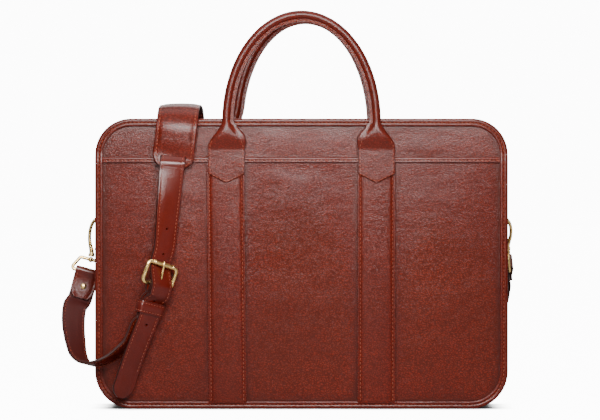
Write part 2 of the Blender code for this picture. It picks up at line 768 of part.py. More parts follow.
def long_rows():
    """The long strap from its tongue's tip, through keeper, buckle and pad, to the right ring."""
    over_heel = BAR_TO_STRAP + LAYER
    through = [
        KEEPER.row(-0.9 * KEEPER_WIDTH, HALF_STACK),
        KEEPER.row(0.0, HALF_STACK),
        KEEPER.row(0.6 * KEEPER_WIDTH, 1.1 * HALF_STACK),
        HEEL.row(-TURN_BACK, 0.78 * over_heel),
        HEEL.row(-0.4 * TURN_BACK, 0.96 * over_heel),
        HEEL.row(0.1 * TURN_BACK, over_heel),
        BUCKLE.row(-0.3 * BAR_REACH, 0.45 * over_heel),
        BUCKLE.row(0.45 * BAR_REACH, -0.45 * BAR_TO_STRAP),
        TOP_BAR.row(0.0, -1.02 * BAR_TO_STRAP),
        TOP_BAR.row(BUCKLE_WIRE, -1.02 * BAR_TO_STRAP),
    ]
    padded = [fitted(row)[:6] for row in PAD_ROWS]
    tongue = [fitted(row) for row in TONGUE_ROWS]
    hanging = [fitted(row) for row in HANGING_ROWS]
    behind = [fitted(row) for row in BEHIND_ROWS]
    ring = ring_frame("right")
    end = wrap_rows(ring, RING_TO_STRAP, 0.5 * FLAP_LENGTH, 0.55 * LAYER)
    lead = ring.row(-0.9 * FLAP_LENGTH, -0.3 * LAYER)
    rows = [*tongue, *through, *hanging, *padded, *behind, lead, *end]
    return smooth_route(rows, ROUTE_STEPS)


def short_rows():
    """The short strap from its turned-back end, over the heel bar, round the loop to its flap."""
    turned = list(reversed(wrap_rows(HEEL, BAR_TO_STRAP, TURN_BACK, 0.53 * LAYER)))
    behind = [KEEPER.row(share * KEEPER_WIDTH, -HALF_STACK) for share in (0.6, 0.0, -0.9)]
    flap = wrap_rows(ring_frame("left"), RING_TO_STRAP, FLAP_LENGTH, 0.55 * LAYER)
    loop = [fitted(row) for row in LOOP_ROWS]
    return smooth_route([*turned, *behind, *loop, *flap], ROUTE_STEPS)


def make_straps():
    rows = long_rows()
    strap = loft("strap_long", LEATHER, ribbon_rings(rows, STRAP_WIDTH, STRAP_THICKNESS, TONGUE_WIDTHS))
    to_prong = route_length(rows, HEEL.at(along=0.7 * BAR_REACH, out=prong_height()))
    for number, step in enumerate((-2, -1, 1, 2)):
        punch(strap, along_route(rows, to_prong + step * PUNCH_SPACING), number)
    opening = PRONG_WIRE + 4 * CLEARANCE
    prong_line = [HEEL.at(along=share * BAR_REACH, out=prong_height()) for share in (-0.1, 1.5)]
    combine(strap, as_mesh(wire("prong_opening", BRASS, prong_line, opening)), "DIFFERENCE")
    strap = loft("strap_short", LEATHER, ribbon_rings(short_rows(), STRAP_WIDTH, STRAP_THICKNESS))
    size = (opening, 3.2 * BAR_TO_STRAP, 5 * BAR_TO_STRAP)
    combine(strap, box("prong_slot", HEEL, size, along=0.1 * BAR_TO_STRAP), "DIFFERENCE")


def box(name, frame, size, along=0.0):
    """A block of this size across, along and out of a frame."""
    shape = bmesh.new()
    bmesh.ops.create_cube(shape, size=1.0)
    place = frame.matrix() @ Matrix.Translation((0, along, 0)) @ Matrix.Diagonal((*size, 1.0))
    bmesh.ops.transform(shape, matrix=place, verts=shape.verts)
    mesh = bpy.data.meshes.new(name)
    shape.to_mesh(mesh)
    shape.free()
    return add_object(name, mesh, BRASS)


def punch(strap, place, number):
    """A round hole through the strap at this frame."""
    line = [place.at(out=-STRAP_THICKNESS), place.at(out=STRAP_THICKNESS)]
    combine(strap, as_mesh(wire(f"punch_{number}", BRASS, line, PUNCH_DIAMETER)), "DIFFERENCE")


def route_length(rows, point):
    """How far along a route its nearest row to this point is."""
    nearest = min(range(len(rows)), key=lambda i: (Vector(rows[i][:3]) - point).length)
    return sum((Vector(rows[i + 1][:3]) - Vector(rows[i][:3])).length for i in range(nearest))


def make_pad():
    """The padded sleeve, with a slot near each end where the strap passes through it."""
    rows = []
    strap_rows = [fitted(row) for row in PAD_ROWS]
    for index, row in enumerate(strap_rows):
        before = Vector(strap_rows[max(index - 1, 0)][:3])
        after = Vector(strap_rows[min(index + 1, len(strap_rows) - 1)][:3])
        side, thick, wide = row[6:]
        along = after - before
        if side <= 0 or thick < 0.7:
            along = Vector((0.0, 0.0, along.z))
        place = Frame(row[:3], row[3:6], along)
        away = HALF_STRAP + 2 * CLEARANCE + PAD_THICKNESS * thick / 2
        rows.append((*place.at(out=side * away), *row[3:6], thick, wide))
    rings = []
    rows = smooth_route(rows, ROUTE_STEPS)
    for index, row in enumerate(rows):
        before = Vector(rows[max(index - 1, 0)][:3])
        after = Vector(rows[min(index + 1, len(rows) - 1)][:3])
        place = Frame(row[:3], row[3:6], after - before)
        half, lift = PAD_WIDTH / 2 * row[7], PAD_THICKNESS / 2 * row[6]
        corners = ((1, 0), (0.8, 1), (-0.8, 1), (-1, 0), (-0.8, -1), (0.8, -1))
        rings.append([place.at(half * across, 0.0, lift * out) for across, out in corners])
    pad = loft("shoulder_pad", LEATHER, rings)
    for number, (first, last) in enumerate(SLOT_ROWS):
        crossing = smooth_route([row[:6] for row in strap_rows[first - 1 : last + 2]], ROUTE_STEPS)
        rings = ribbon_rings(crossing, STRAP_WIDTH + 4 * CLEARANCE, STRAP_THICKNESS + 2 * CLEARANCE)
        combine(pad, loft(f"pad_slot_{number}", LEATHER, rings), "DIFFERENCE")


def make_keeper():
    """The leather loop round the tongue and the short strap."""
    inner = (STRAP_WIDTH / 2 + 3 * CLEARANCE, HALF_STACK + HALF_STRAP + 3 * CLEARANCE)
    outer = (inner[0] + KEEPER_LEATHER, inner[1] + KEEPER_LEATHER)

    def loop(half, lift, along):
        cut = 0.3 * lift
        corners = (
            (half, lift - cut), (half - cut, lift), (cut - half, lift), (-half, lift - cut),
            (-half, cut - lift), (cut - half, -lift), (half - cut, -lift), (half, cut - lift),
        )
        return [KEEPER.at(across, along, out) for across, out in corners]

    reach = KEEPER_WIDTH / 2
    keeper = loft("strap_keeper", LEATHER, [loop(*outer, -reach), loop(*outer, reach)])
    hollow = loft("keeper_hollow", LEATHER, [loop(*inner, -2 * reach), loop(*inner, 2 * reach)])
    combine(keeper, hollow, "DIFFERENCE")


# Buckle, rings and hooks


def prong_height():
    return BUCKLE_WIRE / 2 + CLEARANCE + PRONG_WIRE / 2


def make_buckle():
    half = (BUCKLE_WIDTH - BUCKLE_WIRE) / 2
    cut = half - STRAP_WIDTH / 2 - CLEARANCE
    corners = []
    for x_sign, z_sign in ((1, 1), (-1, 1), (-1, -1), (1, -1)):
        for step in range(4):
            angle = math.pi / 2 * step / 3
            turn = (math.cos(angle), math.sin(angle))
            if x_sign * z_sign < 0:
                turn = turn[::-1]
            across_frame = x_sign * (half - cut + cut * turn[0])
            corners.append(BUCKLE.at(across_frame, z_sign * (BAR_REACH - cut + cut * turn[1])))
    wire("buckle_frame", BRASS, corners, BUCKLE_WIRE, cyclic=True)
    radius = prong_height()
    turns = [math.radians(degrees) for degrees in (-300, -260, -220, -180, -140, -100, -50, 0)]
    eye = [(radius * math.sin(turn), radius * math.cos(turn)) for turn in turns]
    tip = 2 * BAR_REACH + BUCKLE_WIRE / 2 + PRONG_WIRE / 2
    line = eye + [(0.3 * tip, radius), (0.65 * tip, radius), (0.9 * tip, radius), (tip, 0.7 * radius)]
    wire("buckle_prong", BRASS, [HEEL.at(along=along, out=out) for along, out in line], PRONG_WIRE)


SIDES = {"left": -1, "right": 1}
D_RING_LEAN = {"left": math.radians(19.5), "right": math.radians(16.5)}
HOOK_ALONG = {"left": (0.139, 0.0, 0.990), "right": (-0.095, -0.550, 0.830)}
RING_ACROSS = {"left": (0.97, 0.10, -0.20), "right": (0.0, 0.834, 0.550)}
RING_ALONG = {"left": (0.26, 0.10, 0.96), "right": HOOK_ALONG["right"]}

# The hook's outline from its swivel: shares of its length up and towards the case, and the
# share of the wire's thickness there.
HOOK_ROWS = (
    (0.030, 0.000, 1.70),
    (0.100, 0.000, 1.70),
    (0.190, -0.020, 1.35),
    (0.300, -0.060, 1.15),
    (0.420, -0.095, 1.05),
    (0.560, -0.115, 1.00),
    (0.700, -0.115, 1.00),
    (0.830, -0.090, 1.00),
    (0.930, -0.040, 1.00),
    (0.985, 0.018, 1.00),
    (1.000, 0.060, 1.00),
    (0.985, 0.110, 1.00),
    (0.940, 0.155, 1.00),
    (0.870, 0.190, 1.00),
    (0.800, 0.205, 1.00),
)
GATE_ROWS = ((0.780, 0.204), (0.200, 0.080))
HOOK_APEX = 0.060


def side_face(side):
    """X of the side gusset's outer face."""
    return SIDES[side] * (CASE_WIDTH / 2 - SIDE_INSET)


def bar_offset():
    """From the side gusset's face to the middle of the ring's straight bar."""
    return 2 * CLEARANCE + RING_TAB_LEATHER + D_RING_WIRE / 2


def d_ring_bottom(side):
    lean, sign = D_RING_LEAN[side], SIDES[side]
    x = side_face(side) + sign * (bar_offset() + D_RING_HEIGHT * math.sin(lean))
    return Vector((x, 0.0, RING_BAR_HEIGHT - D_RING_HEIGHT * math.cos(lean)))


def hook_frame(side):
    """The hook's swivel: across points towards the case, along points up the hook."""
    hook = Frame((0, 0, 0), (-SIDES[side], 0.0, 0.0), HOOK_ALONG[side])
    apart = (HOOK_WIRE + D_RING_WIRE) / 2 + 2.4 * CLEARANCE
    level = 1 - hook.along.y**2
    swivel = d_ring_bottom(side) - hook.at(HOOK_APEX * HOOK_LENGTH, HOOK_LENGTH - apart / level)
    return Frame(swivel, hook.across, hook.along)


def ball_middle(side):
    hook = hook_frame(side)
    return hook.at(along=HOOK_ROWS[0][0] * HOOK_LENGTH - CLEARANCE - SWIVEL_BALL / 2)


def ring_frame(side):
    """The bar that the strap turns over."""
    ball = Frame(ball_middle(side), RING_ACROSS[side], RING_ALONG[side])
    return Frame(ball.at(along=-RING_REACH), ball.across, ball.along)


def move_origin(made, point):
    """Put an object's origin on its joint and leave its shape where it is."""
    made.data.transform(Matrix.Translation(-point))
    made.location = point


def make_rings_and_hooks():
    for side in ("left", "right"):
        make_ring_tab(side)
        make_d_ring(side)
        make_hook_ring(side)
    hook = hook_frame("left")
    spine = [hook.at(HOOK_LENGTH * in_, HOOK_LENGTH * up) for up, in_, _ in HOOK_ROWS]
    body = wire("hook_left", BRASS, spine, HOOK_WIRE, swell=[share for _, _, share in HOOK_ROWS])
    move_origin(body, hook.middle)
    line = [hook.at(HOOK_LENGTH * in_, HOOK_LENGTH * up) for up, in_ in GATE_ROWS]
    gate = wire("hook_left_gate", BRASS, line, GATE_WIRE)
    move_origin(gate, line[-1])
    make_plain_hook()


def make_plain_hook():
    """The hidden hook as one closed piece."""
    hook = hook_frame("right")
    spine = [hook.at(HOOK_LENGTH * in_, HOOK_LENGTH * up) for up, in_, _ in HOOK_ROWS]
    body = as_mesh(wire("hook_right", BRASS, spine, HOOK_WIRE, swell=[share for _, _, share in HOOK_ROWS]))
    closed = ((0.85, 0.2), GATE_ROWS[1], (0.1, 0.0))
    gate = [hook.at(HOOK_LENGTH * in_, HOOK_LENGTH * up) for up, in_ in closed]
    combine(body, as_mesh(wire("plain_gate", BRASS, gate, GATE_WIRE)), "UNION")


def make_d_ring(side):
    """Straight bar on top, round below, leaning out from the case."""
    lean, sign = D_RING_LEAN[side], SIDES[side]
    bar = Vector((side_face(side) + sign * bar_offset(), 0.0, RING_BAR_HEIGHT))
    down = Vector((sign * math.sin(lean), 0.0, -math.cos(lean)))
    half = (D_RING_WIDTH - D_RING_WIRE) / 2
    points = [bar + Vector((0, y, 0)) for y in (-0.9 * half, 0.9 * half)]
    for step in range(13):
        angle = math.pi * step / 12
        drop = D_RING_HEIGHT * (0.12 + 0.88 * math.sin(angle) ** 0.6)
        points.append(bar + Vector((0, half * math.cos(angle), 0)) + down * drop)
    wire(f"d_ring_{side}", BRASS, points, D_RING_WIRE, cyclic=True)


def make_ring_tab(side):
    """A strip folded round the ring's bar, both ends sewn to the side gusset above it."""
    sign, face = SIDES[side], side_face(side)
    lining = CLEARANCE + RING_TAB_LEATHER / 2
    radius = D_RING_WIRE / 2 + CLEARANCE + RING_TAB_LEATHER / 2
    outside = lining + RING_TAB_LEATHER + CLEARANCE
    profile = [(lining, RING_TAB_LENGTH), (lining, 0.3 * RING_TAB_LENGTH)]
    for step in range(7):
        angle = math.pi * step / 6
        profile.append((bar_offset() - radius * math.cos(angle), -radius * math.sin(angle)))
    profile += [(0.5 * (outside + bar_offset() + radius), 2 * radius)]
    profile += [(outside, 4 * radius), (outside, RING_TAB_LENGTH)]
    rows = [(face + sign * out, 0.0, RING_BAR_HEIGHT + up, 0.0, 1.0, 0.0) for out, up in profile]
    loft(f"ring_tab_{side}", LEATHER, ribbon_rings(rows, RING_TAB_WIDTH, RING_TAB_LEATHER))


def make_hook_ring(side):
    """The swivel's ball with the four-sided ring that the strap turns over."""
    bar = ring_frame(side)
    narrow, wide = 0.47 * STRAP_WIDTH, STRAP_WIDTH / 2 + HOOK_RING_WIRE
    cut = HOOK_RING_WIRE
    outline = (
        (narrow - cut, RING_REACH), (narrow, RING_REACH - 0.5 * cut), (wide, cut), (wide - 0.7 * cut, 0.0),
        (0.7 * cut - wide, 0.0), (-wide, cut), (-narrow, RING_REACH - 0.5 * cut), (cut - narrow, RING_REACH),
    )
    points = [bar.at(across, along) for across, along in outline]
    ring = as_mesh(wire(f"hook_{side}_ring", BRASS, points, HOOK_RING_WIRE, cyclic=True))
    ball = bmesh.new()
    bmesh.ops.create_uvsphere(ball, u_segments=8, v_segments=6, radius=SWIVEL_BALL / 2)
    bmesh.ops.translate(ball, vec=ball_middle(side), verts=ball.verts)
    mesh = bpy.data.meshes.new("ball")
    ball.to_mesh(mesh)
    ball.free()
    combine(ring, add_object(f"swivel_ball_{side}", mesh, BRASS), "UNION")


def make_rivet():
    """The rivet that closes the short strap's flap."""
    place = ring_frame("left")
    above_flap = 0.55 * LAYER + HALF_STRAP + CLEARANCE + RIVET_HEIGHT / 2
    middle = place.at(along=-0.55 * FLAP_LENGTH, out=above_flap)
    cap = bmesh.new()
    bmesh.ops.create_cone(
        cap,
        cap_ends=True,
        segments=14,
        radius1=RIVET_DIAMETER / 2,
        radius2=0.3 * RIVET_DIAMETER,
        depth=RIVET_HEIGHT,
    )
    bmesh.ops.transform(cap, matrix=Frame(middle, place.across, place.along).matrix(), verts=cap.verts)
    mesh = bpy.data.meshes.new("strap_rivet")
    cap.to_mesh(mesh)
    cap.free()
    add_object("strap_rivet", mesh, BRASS)


def main():
    clear_scene()
    make_panels()
    make_pocket_binding()
    make_bindings()
    make_gusset()
    make_top_gussets()
    make_zip()
    make_bands()
    make_handles()
    make_straps()
    make_pad()
    make_keeper()
    make_buckle()
    make_rings_and_hooks()
    make_rivet()


PARTS = new_collection("document_case")
CUTTERS = new_collection("cutters")
LEATHER = new_material("leather", (0.16, 0.035, 0.018), 0.32)
LEATHER_EDGE = new_material("leather_edge", (0.11, 0.024, 0.014), 0.35)
ZIP_CLOTH = new_material("zip_cloth", (0.05, 0.02, 0.015), 0.8)
BRASS = new_material("brass", (0.83, 0.60, 0.26), 0.18, 1.0)

main()
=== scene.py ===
"""Dresses the leather document case: pebbled leather, painted edges, stitching, brass and a plain studio.

Metres, +X to the viewer's right, +Y away from the viewer, +Z up. Left and right are the viewer's.
"""

import logging
import math
from collections.abc import Callable, Sequence
from dataclasses import dataclass, field
from enum import Enum

import bmesh
import bpy
from mathutils import Matrix, Vector, noise


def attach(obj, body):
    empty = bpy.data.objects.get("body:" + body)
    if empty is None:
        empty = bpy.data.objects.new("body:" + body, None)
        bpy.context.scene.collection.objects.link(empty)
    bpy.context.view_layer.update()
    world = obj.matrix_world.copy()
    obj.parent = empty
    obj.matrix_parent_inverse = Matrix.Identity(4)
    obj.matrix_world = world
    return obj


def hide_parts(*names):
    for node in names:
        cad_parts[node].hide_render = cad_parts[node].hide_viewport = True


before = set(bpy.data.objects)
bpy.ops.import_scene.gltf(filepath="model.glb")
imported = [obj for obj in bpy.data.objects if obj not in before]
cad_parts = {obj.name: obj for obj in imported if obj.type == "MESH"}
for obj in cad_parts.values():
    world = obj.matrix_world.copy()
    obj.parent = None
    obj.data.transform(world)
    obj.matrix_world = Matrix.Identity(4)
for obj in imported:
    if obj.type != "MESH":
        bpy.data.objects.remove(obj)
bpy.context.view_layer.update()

Colour = tuple[float, float, float]
Surface = Callable[[float, float], Vector]
Section = Sequence[tuple[float, float]]
LOG = logging.getLogger("document_case")


def smoothstep(value: float) -> float:
    """Rise smoothly from 0 at 0 to 1 at 1."""
    value = min(max(value, 0.0), 1.0)
    return value * value * (3 - 2 * value)


def between(start: float, end: float, share: float) -> float:
    """The value this share of the way from start to end."""
    return start + (end - start) * share


# Finishes


class Wiring:
    """Adds nodes to one shader tree and links them."""

    def __init__(self, tree: bpy.types.NodeTree) -> None:
        """Start on this tree."""
        self.tree = tree

    def feed(self, made: bpy.types.Node, inputs: dict) -> None:
        """Set a node's inputs.

        Args:
            made: the node.
            inputs: socket name or number, with a value or the socket that feeds it.
        """
        for key, value in inputs.items():
            if isinstance(value, bpy.types.NodeSocket):
                self.tree.links.new(value, made.inputs[key])
            else:
                made.inputs[key].default_value = value

    def add(self, kind: str, inputs: dict | None = None, **settings: object) -> bpy.types.Node:
        """Add a node.

        Args:
            kind: the node's type name.
            inputs: as feed takes them.
            settings: the node's own properties.

        Returns:
            The new node.
        """
        made = self.tree.nodes.new(kind)
        for name, value in settings.items():
            setattr(made, name, value)
        self.feed(made, inputs or {})
        return made

    def group(self, tree: bpy.types.NodeTree, inputs: dict) -> bpy.types.Node:
        """Add a node group with these inputs.

        Args:
            tree: the group.
            inputs: as feed takes them.

        Returns:
            The new node.
        """
        made = self.add("ShaderNodeGroup", node_tree=tree)
        self.feed(made, inputs)
        return made

    def maths(self, operation: str, *values: object) -> bpy.types.NodeSocket:
        """The result of a Math node on these values or sockets."""
        return self.add("ShaderNodeMath", dict(enumerate(values)), operation=operation).outputs[0]

    def ramp(self, value: bpy.types.NodeSocket, low: float, high: float) -> bpy.types.NodeSocket:
        """A smooth 0 to 1 as value goes from low to high."""
        inputs = {"Value": value, "From Min": low, "From Max": high}
        return self.add("ShaderNodeMapRange", inputs, interpolation_type="SMOOTHSTEP").outputs["Result"]

    def mix(self, share: object, first: object, second: object) -> bpy.types.NodeSocket:
        """A colour between first and second.

        Args:
            share: how far from the first to the second, 0 to 1.
            first: what it starts from.
            second: what it ends at.

        Returns:
            The socket with the result.
        """
        colours = {
            number: value if isinstance(value, bpy.types.NodeSocket) else (*value, 1.0)
            for number, value in ((6, first), (7, second))
        }
        return self.add("ShaderNodeMix", {"Factor": share, **colours}, data_type="RGBA").outputs[2]

    def noise(self, place: bpy.types.NodeSocket, scale: float, detail: float = 3.0) -> bpy.types.NodeSocket:
        """The value of a Noise Texture node."""
        inputs = {"Vector": place, "Scale": scale, "Detail": detail}
        return self.add("ShaderNodeTexNoise", inputs).outputs["Fac"]


def start_group(
    name: str, given: Sequence[str], results: Sequence[str]
) -> tuple[Wiring, object, bpy.types.Node]:
    """Start a node group.

    Args:
        name: the group's name.
        given: names of its number inputs. It has a Vector input too.
        results: names of its outputs.

    Returns:
        Its wiring, its input sockets and its output node.
    """
    group = bpy.data.node_groups.new(name, "ShaderNodeTree")
    group.interface.new_socket("Vector", in_out="INPUT", socket_type="NodeSocketVector")
    for way, names in (("INPUT", given), ("OUTPUT", results)):
        for socket in names:
            group.interface.new_socket(socket, in_out=way, socket_type="NodeSocketFloat")
    wire = Wiring(group)
    return wire, wire.add("NodeGroupInput").outputs, wire.add("NodeGroupOutput")


def pebbled_grain() -> bpy.types.NodeTree:
    """Node group: rounded pebbles of leather with fine creases between them.

    Returns:
        The group, with Vector and Pebble (its width) in, Height and Crease out.
    """
    wire, given, done = start_group("pebbled_grain", ["Pebble"], ["Height", "Crease"])
    place, pebble = given["Vector"], given["Pebble"]
    warp = wire.add("ShaderNodeTexNoise", {"Vector": place, "Scale": 260.0, "Detail": 2.0}).outputs["Color"]
    centred = wire.add("ShaderNodeVectorMath", {0: warp, 1: (0.5, 0.5, 0.5)}, operation="SUBTRACT")
    push = {0: centred.outputs[0], "Scale": wire.maths("MULTIPLY", pebble, 1.9)}
    pushed = wire.add("ShaderNodeVectorMath", push, operation="SCALE")
    longer = wire.add("ShaderNodeMapping", {"Vector": place, "Scale": (0.78, 0.9, 1.25)})
    warped = wire.add("ShaderNodeVectorMath", {0: longer.outputs[0], 1: pushed.outputs[0]}).outputs[0]
    fineness = wire.maths("DIVIDE", 1.0, pebble)
    domes = []
    for finer, wide in ((1.0, 0.30), (2.3, 0.25)):
        inputs = {"Vector": warped, "Scale": wire.maths("MULTIPLY", fineness, finer)}
        cells = wire.add("ShaderNodeTexVoronoi", inputs, feature="DISTANCE_TO_EDGE")
        domes.append(wire.ramp(cells.outputs["Distance"], 0.0, wide))
    height = wire.maths("MULTIPLY_ADD", domes[1], 0.25, domes[0])
    pores = wire.noise(place, 2600.0, 2.0)
    wire.feed(done, {
        "Height": wire.maths("MULTIPLY_ADD", pores, 0.15, height),
        "Crease": wire.maths("SUBTRACT", 1.0, domes[0]),
    })
    return wire.tree


def soft_wear() -> bpy.types.NodeTree:
    """Node group: broad cloudiness, as hand-finished leather and handled metal have.

    Returns:
        The group, with Vector in, Broad and Fine out, both from 0 to 1.
    """
    wire, given, done = start_group("soft_wear", [], ["Broad", "Fine"])
    wire.feed(done, {
        "Broad": wire.ramp(wire.noise(given["Vector"], 14.0), 0.32, 0.70),
        "Fine": wire.ramp(wire.noise(given["Vector"], 95.0, 5.0), 0.30, 0.72),
    })
    return wire.tree


PEBBLED_GRAIN = pebbled_grain()
SOFT_WEAR = soft_wear()


def start_material(name: str) -> tuple[bpy.types.Material, Wiring, bpy.types.Node, bpy.types.NodeSocket]:
    """A new material, its wiring, its Principled shader and its Object coordinates.

    Args:
        name: the material's name.

    Returns:
        The material, its wiring, its shader and its coordinates.
    """
    material = bpy.data.materials.new(name)
    material.use_nodes = True
    wire = Wiring(material.node_tree)
    shader = material.node_tree.nodes["Principled BSDF"]
    return material, wire, shader, wire.add("ShaderNodeTexCoord").outputs["Object"]


@dataclass(frozen=True)
class LeatherFinish:
    """Chestnut leather with a pebbled grain, creases, and painted shade that darkens it along its edges and
    seams.
    """

    name: str
    deep: Colour = (0.026, 0.0016, 0.0006)
    body: Colour = (0.074, 0.0048, 0.0015)
    bright: Colour = (0.100, 0.0072, 0.0023)
    sheen: Colour = (1.0, 0.56, 0.40)
    pebble: float = 0.0021
    relief: float = 0.000044
    roughness: float = 0.42
    gloss: float = 0.34
    gloss_roughness: float = 0.23
    crease: float = 0.00012
    crease_tone: float = 0.85

    def build(self) -> bpy.types.Material:
        """Make the material.

        Returns:
            The finished material.
        """
        material, wire, shader, place = start_material(self.name)
        grain = wire.group(PEBBLED_GRAIN, {"Vector": place, "Pebble": self.pebble}).outputs
        wear = wire.group(SOFT_WEAR, {"Vector": place}).outputs
        # The attribute read here is painted shade along the bindings and beside the strips; it darkens the
        # leather towards deep.
        edge = wire.add("ShaderNodeAttribute", attribute_name="painted_shade").outputs["Fac"]
        colour = wire.mix(wire.maths("MULTIPLY", wear["Broad"], 0.75), self.body, self.bright)
        for mask, share in ((wear["Fine"], 0.22), (grain["Crease"], self.crease_tone), (edge, 0.9)):
            colour = wire.mix(wire.maths("MULTIPLY", mask, share), colour, self.deep)
        rough = wire.maths("MULTIPLY_ADD", grain["Crease"], 0.22, self.roughness)
        stretched = wire.add("ShaderNodeMapping", {"Vector": place, "Scale": (1.0, 1.0, 2.6)}).outputs[0]
        folds = {"Height": wire.noise(stretched, 34.0, 4.0), "Distance": self.crease * 4, "Strength": 0.5}
        soft = wire.add("ShaderNodeBump", folds).outputs[0]
        pebbles = {"Height": grain["Height"], "Distance": self.relief, "Normal": soft}
        bump = wire.add("ShaderNodeBump", pebbles).outputs[0]
        wire.feed(shader, {
            "Base Color": colour,
            "Roughness": wire.maths("MULTIPLY_ADD", wear["Fine"], 0.07, rough),
            "Specular IOR Level": 0.12,
            "Specular Tint": (*self.sheen, 1.0),
            "Coat Weight": self.gloss,
            "Coat Roughness": self.gloss_roughness,
            "Coat Tint": (*self.sheen, 1.0),
            "Normal": bump,
            "Coat Normal": bump,
        })
        return material


@dataclass(frozen=True)
class PlainFinish:
    """A simple finish: painted edges, leather's flesh side or thread, with fibres in its colour."""

    name: str
    dark: Colour
    light: Colour
    roughness: float
    fibre: float = 900.0
    relief: float = 0.00005

    def build(self) -> bpy.types.Material:
        """Make the material.

        Returns:
            The finished material.
        """
        material, wire, shader, place = start_material(self.name)
        fibres = wire.noise(place, self.fibre, 4.0)
        wear = wire.group(SOFT_WEAR, {"Vector": place}).outputs
        share = wire.maths("MULTIPLY_ADD", wear["Broad"], 0.4, wire.ramp(fibres, 0.3, 1.1))
        wire.feed(shader, {
            "Base Color": wire.mix(share, self.dark, self.light),
            "Specular IOR Level": 0.2,
            "Roughness": wire.maths("MULTIPLY_ADD", fibres, 0.15, self.roughness - 0.07),
            "Normal": wire.add("ShaderNodeBump", {"Height": fibres, "Distance": self.relief}).outputs[0],
        })
        return material


@dataclass(frozen=True)
class BrassFinish:
    """Polished brass with faint scratches and a little tarnish."""

    name: str = "polished_brass"
    bright: Colour = (0.86, 0.58, 0.22)
    dull: Colour = (0.58, 0.36, 0.12)
    roughness: float = 0.17

    def build(self) -> bpy.types.Material:
        """Make the material.

        Returns:
            The finished material.
        """
        material, wire, shader, place = start_material(self.name)
        wear = wire.group(SOFT_WEAR, {"Vector": place}).outputs
        rough = wire.maths("MULTIPLY_ADD", wear["Fine"], 0.12, self.roughness)
        brushed = wire.add("ShaderNodeMapping", {"Vector": place, "Scale": (1.0, 1.0, 0.08)}).outputs[0]
        wire.feed(shader, {
            "Base Color": wire.mix(wire.maths("MULTIPLY", wear["Fine"], 0.35), self.bright, self.dull),
            "Metallic": 1.0,
            "Roughness": wire.maths("MULTIPLY_ADD", wire.noise(brushed, 2200.0, 2.0), 0.06, rough),
        })
        return material


@dataclass(frozen=True)
class WovenFinish:
    """The zip's woven tape: fine ribs across and along."""

    name: str = "zip_tape_weave"
    dark: Colour = (0.020, 0.008, 0.006)
    light: Colour = (0.075, 0.030, 0.020)
    rib: float = 1250.0

    def build(self) -> bpy.types.Material:
        """Make the material.

        Returns:
            The finished material.
        """
        material, wire, shader, place = start_material(self.name)
        waves = []
        for direction in ("X", "Y"):
            inputs = {"Vector": place, "Scale": self.rib, "Distortion": 0.4}
            waves.append(wire.add("ShaderNodeTexWave", inputs, bands_direction=direction).outputs["Fac"])
        weave = wire.maths("MAXIMUM", *waves)
        wire.feed(shader, {
            "Base Color": wire.mix(weave, self.dark, self.light),
            "Roughness": 0.8,
            "Normal": wire.add("ShaderNodeBump", {"Height": weave, "Distance": 0.00012}).outputs[0],
        })
        return material


class Finish(Enum):
    """The finishes that the case's pieces take."""

    LEATHER = "leather"
    STRAP = "strap leather"
    PAINTED_EDGE = "painted edge"
    FLESH = "flesh side"
    THREAD = "thread"
    TAPE = "zip tape"
    BRASS = "brass"
    DARK_BRASS = "shaded brass"


STRAP_LEATHER = LeatherFinish(
    "strap_leather",
    body=(0.056, 0.0034, 0.0010),
    bright=(0.076, 0.0052, 0.0016),
    pebble=0.0015,
    relief=0.000025,
    gloss=0.6,
    crease_tone=0.35,
)
FINISHES = {
    Finish.LEATHER: LeatherFinish("case_leather"),
    Finish.STRAP: STRAP_LEATHER,
    Finish.PAINTED_EDGE: PlainFinish("painted_edge", (0.014, 0.0024, 0.0016), (0.032, 0.006, 0.0036), 0.42),
    Finish.FLESH: PlainFinish("flesh_side", (0.026, 0.0020, 0.0012), (0.045, 0.004, 0.002), 0.60),
    Finish.THREAD: PlainFinish("waxed_thread", (0.13, 0.020, 0.008), (0.25, 0.055, 0.021), 0.5, 3000.0),
    Finish.TAPE: WovenFinish(),
    Finish.BRASS: BrassFinish(),
    Finish.DARK_BRASS: BrassFinish("zip_brass", (0.62, 0.44, 0.20), (0.30, 0.19, 0.08), 0.24),
}
MATERIALS = {finish: maker.build() for finish, maker in FINISHES.items()}
LEATHER_FACES = (Finish.LEATHER, Finish.PAINTED_EDGE, Finish.FLESH)
STRAP_FACES = (Finish.STRAP, Finish.PAINTED_EDGE, Finish.FLESH)


# Making pieces


@dataclass
class Piece:
    """One finished piece: its mesh, what it rides on and which CAD nodes it stands for."""

    name: str
    finishes: Sequence[Finish]
    slot: str
    body: str = "case"
    replaces: Sequence[str] = ()

    def place(self, shape: bmesh.types.BMesh, angle: float = 35.0) -> bpy.types.Object:
        """Turn a bmesh into the piece.

        Args:
            shape: the mesh in the case's own frame. It is freed.
            angle: the angle in degrees past which an edge is sharp.

        Returns:
            The piece's object, at the origin.
        """
        mesh = bpy.data.meshes.new(self.name)
        shape.to_mesh(mesh)
        shape.free()
        made = bpy.data.objects.new(self.name, mesh)
        bpy.context.scene.collection.objects.link(made)
        for finish in self.finishes:
            mesh.materials.append(MATERIALS[finish])
        mesh.shade_smooth()
        mesh.set_sharp_from_angle(angle=math.radians(angle))
        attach(made, self.body)
        if self.replaces:
            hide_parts(*self.replaces)
        return made

    def sheet(self, shape: bmesh.types.BMesh, leather: float, rounding: float = 0.0) -> bpy.types.Object:
        """Turn an open sheet into the piece, with a thickness behind its face.

        Args:
            shape: the open sheet.
            leather: how thick the leather is.
            rounding: how far its edges are rounded.

        Returns:
            The finished piece.
        """
        made = self.place(shape)
        thicken(made, leather, rounding)
        return made


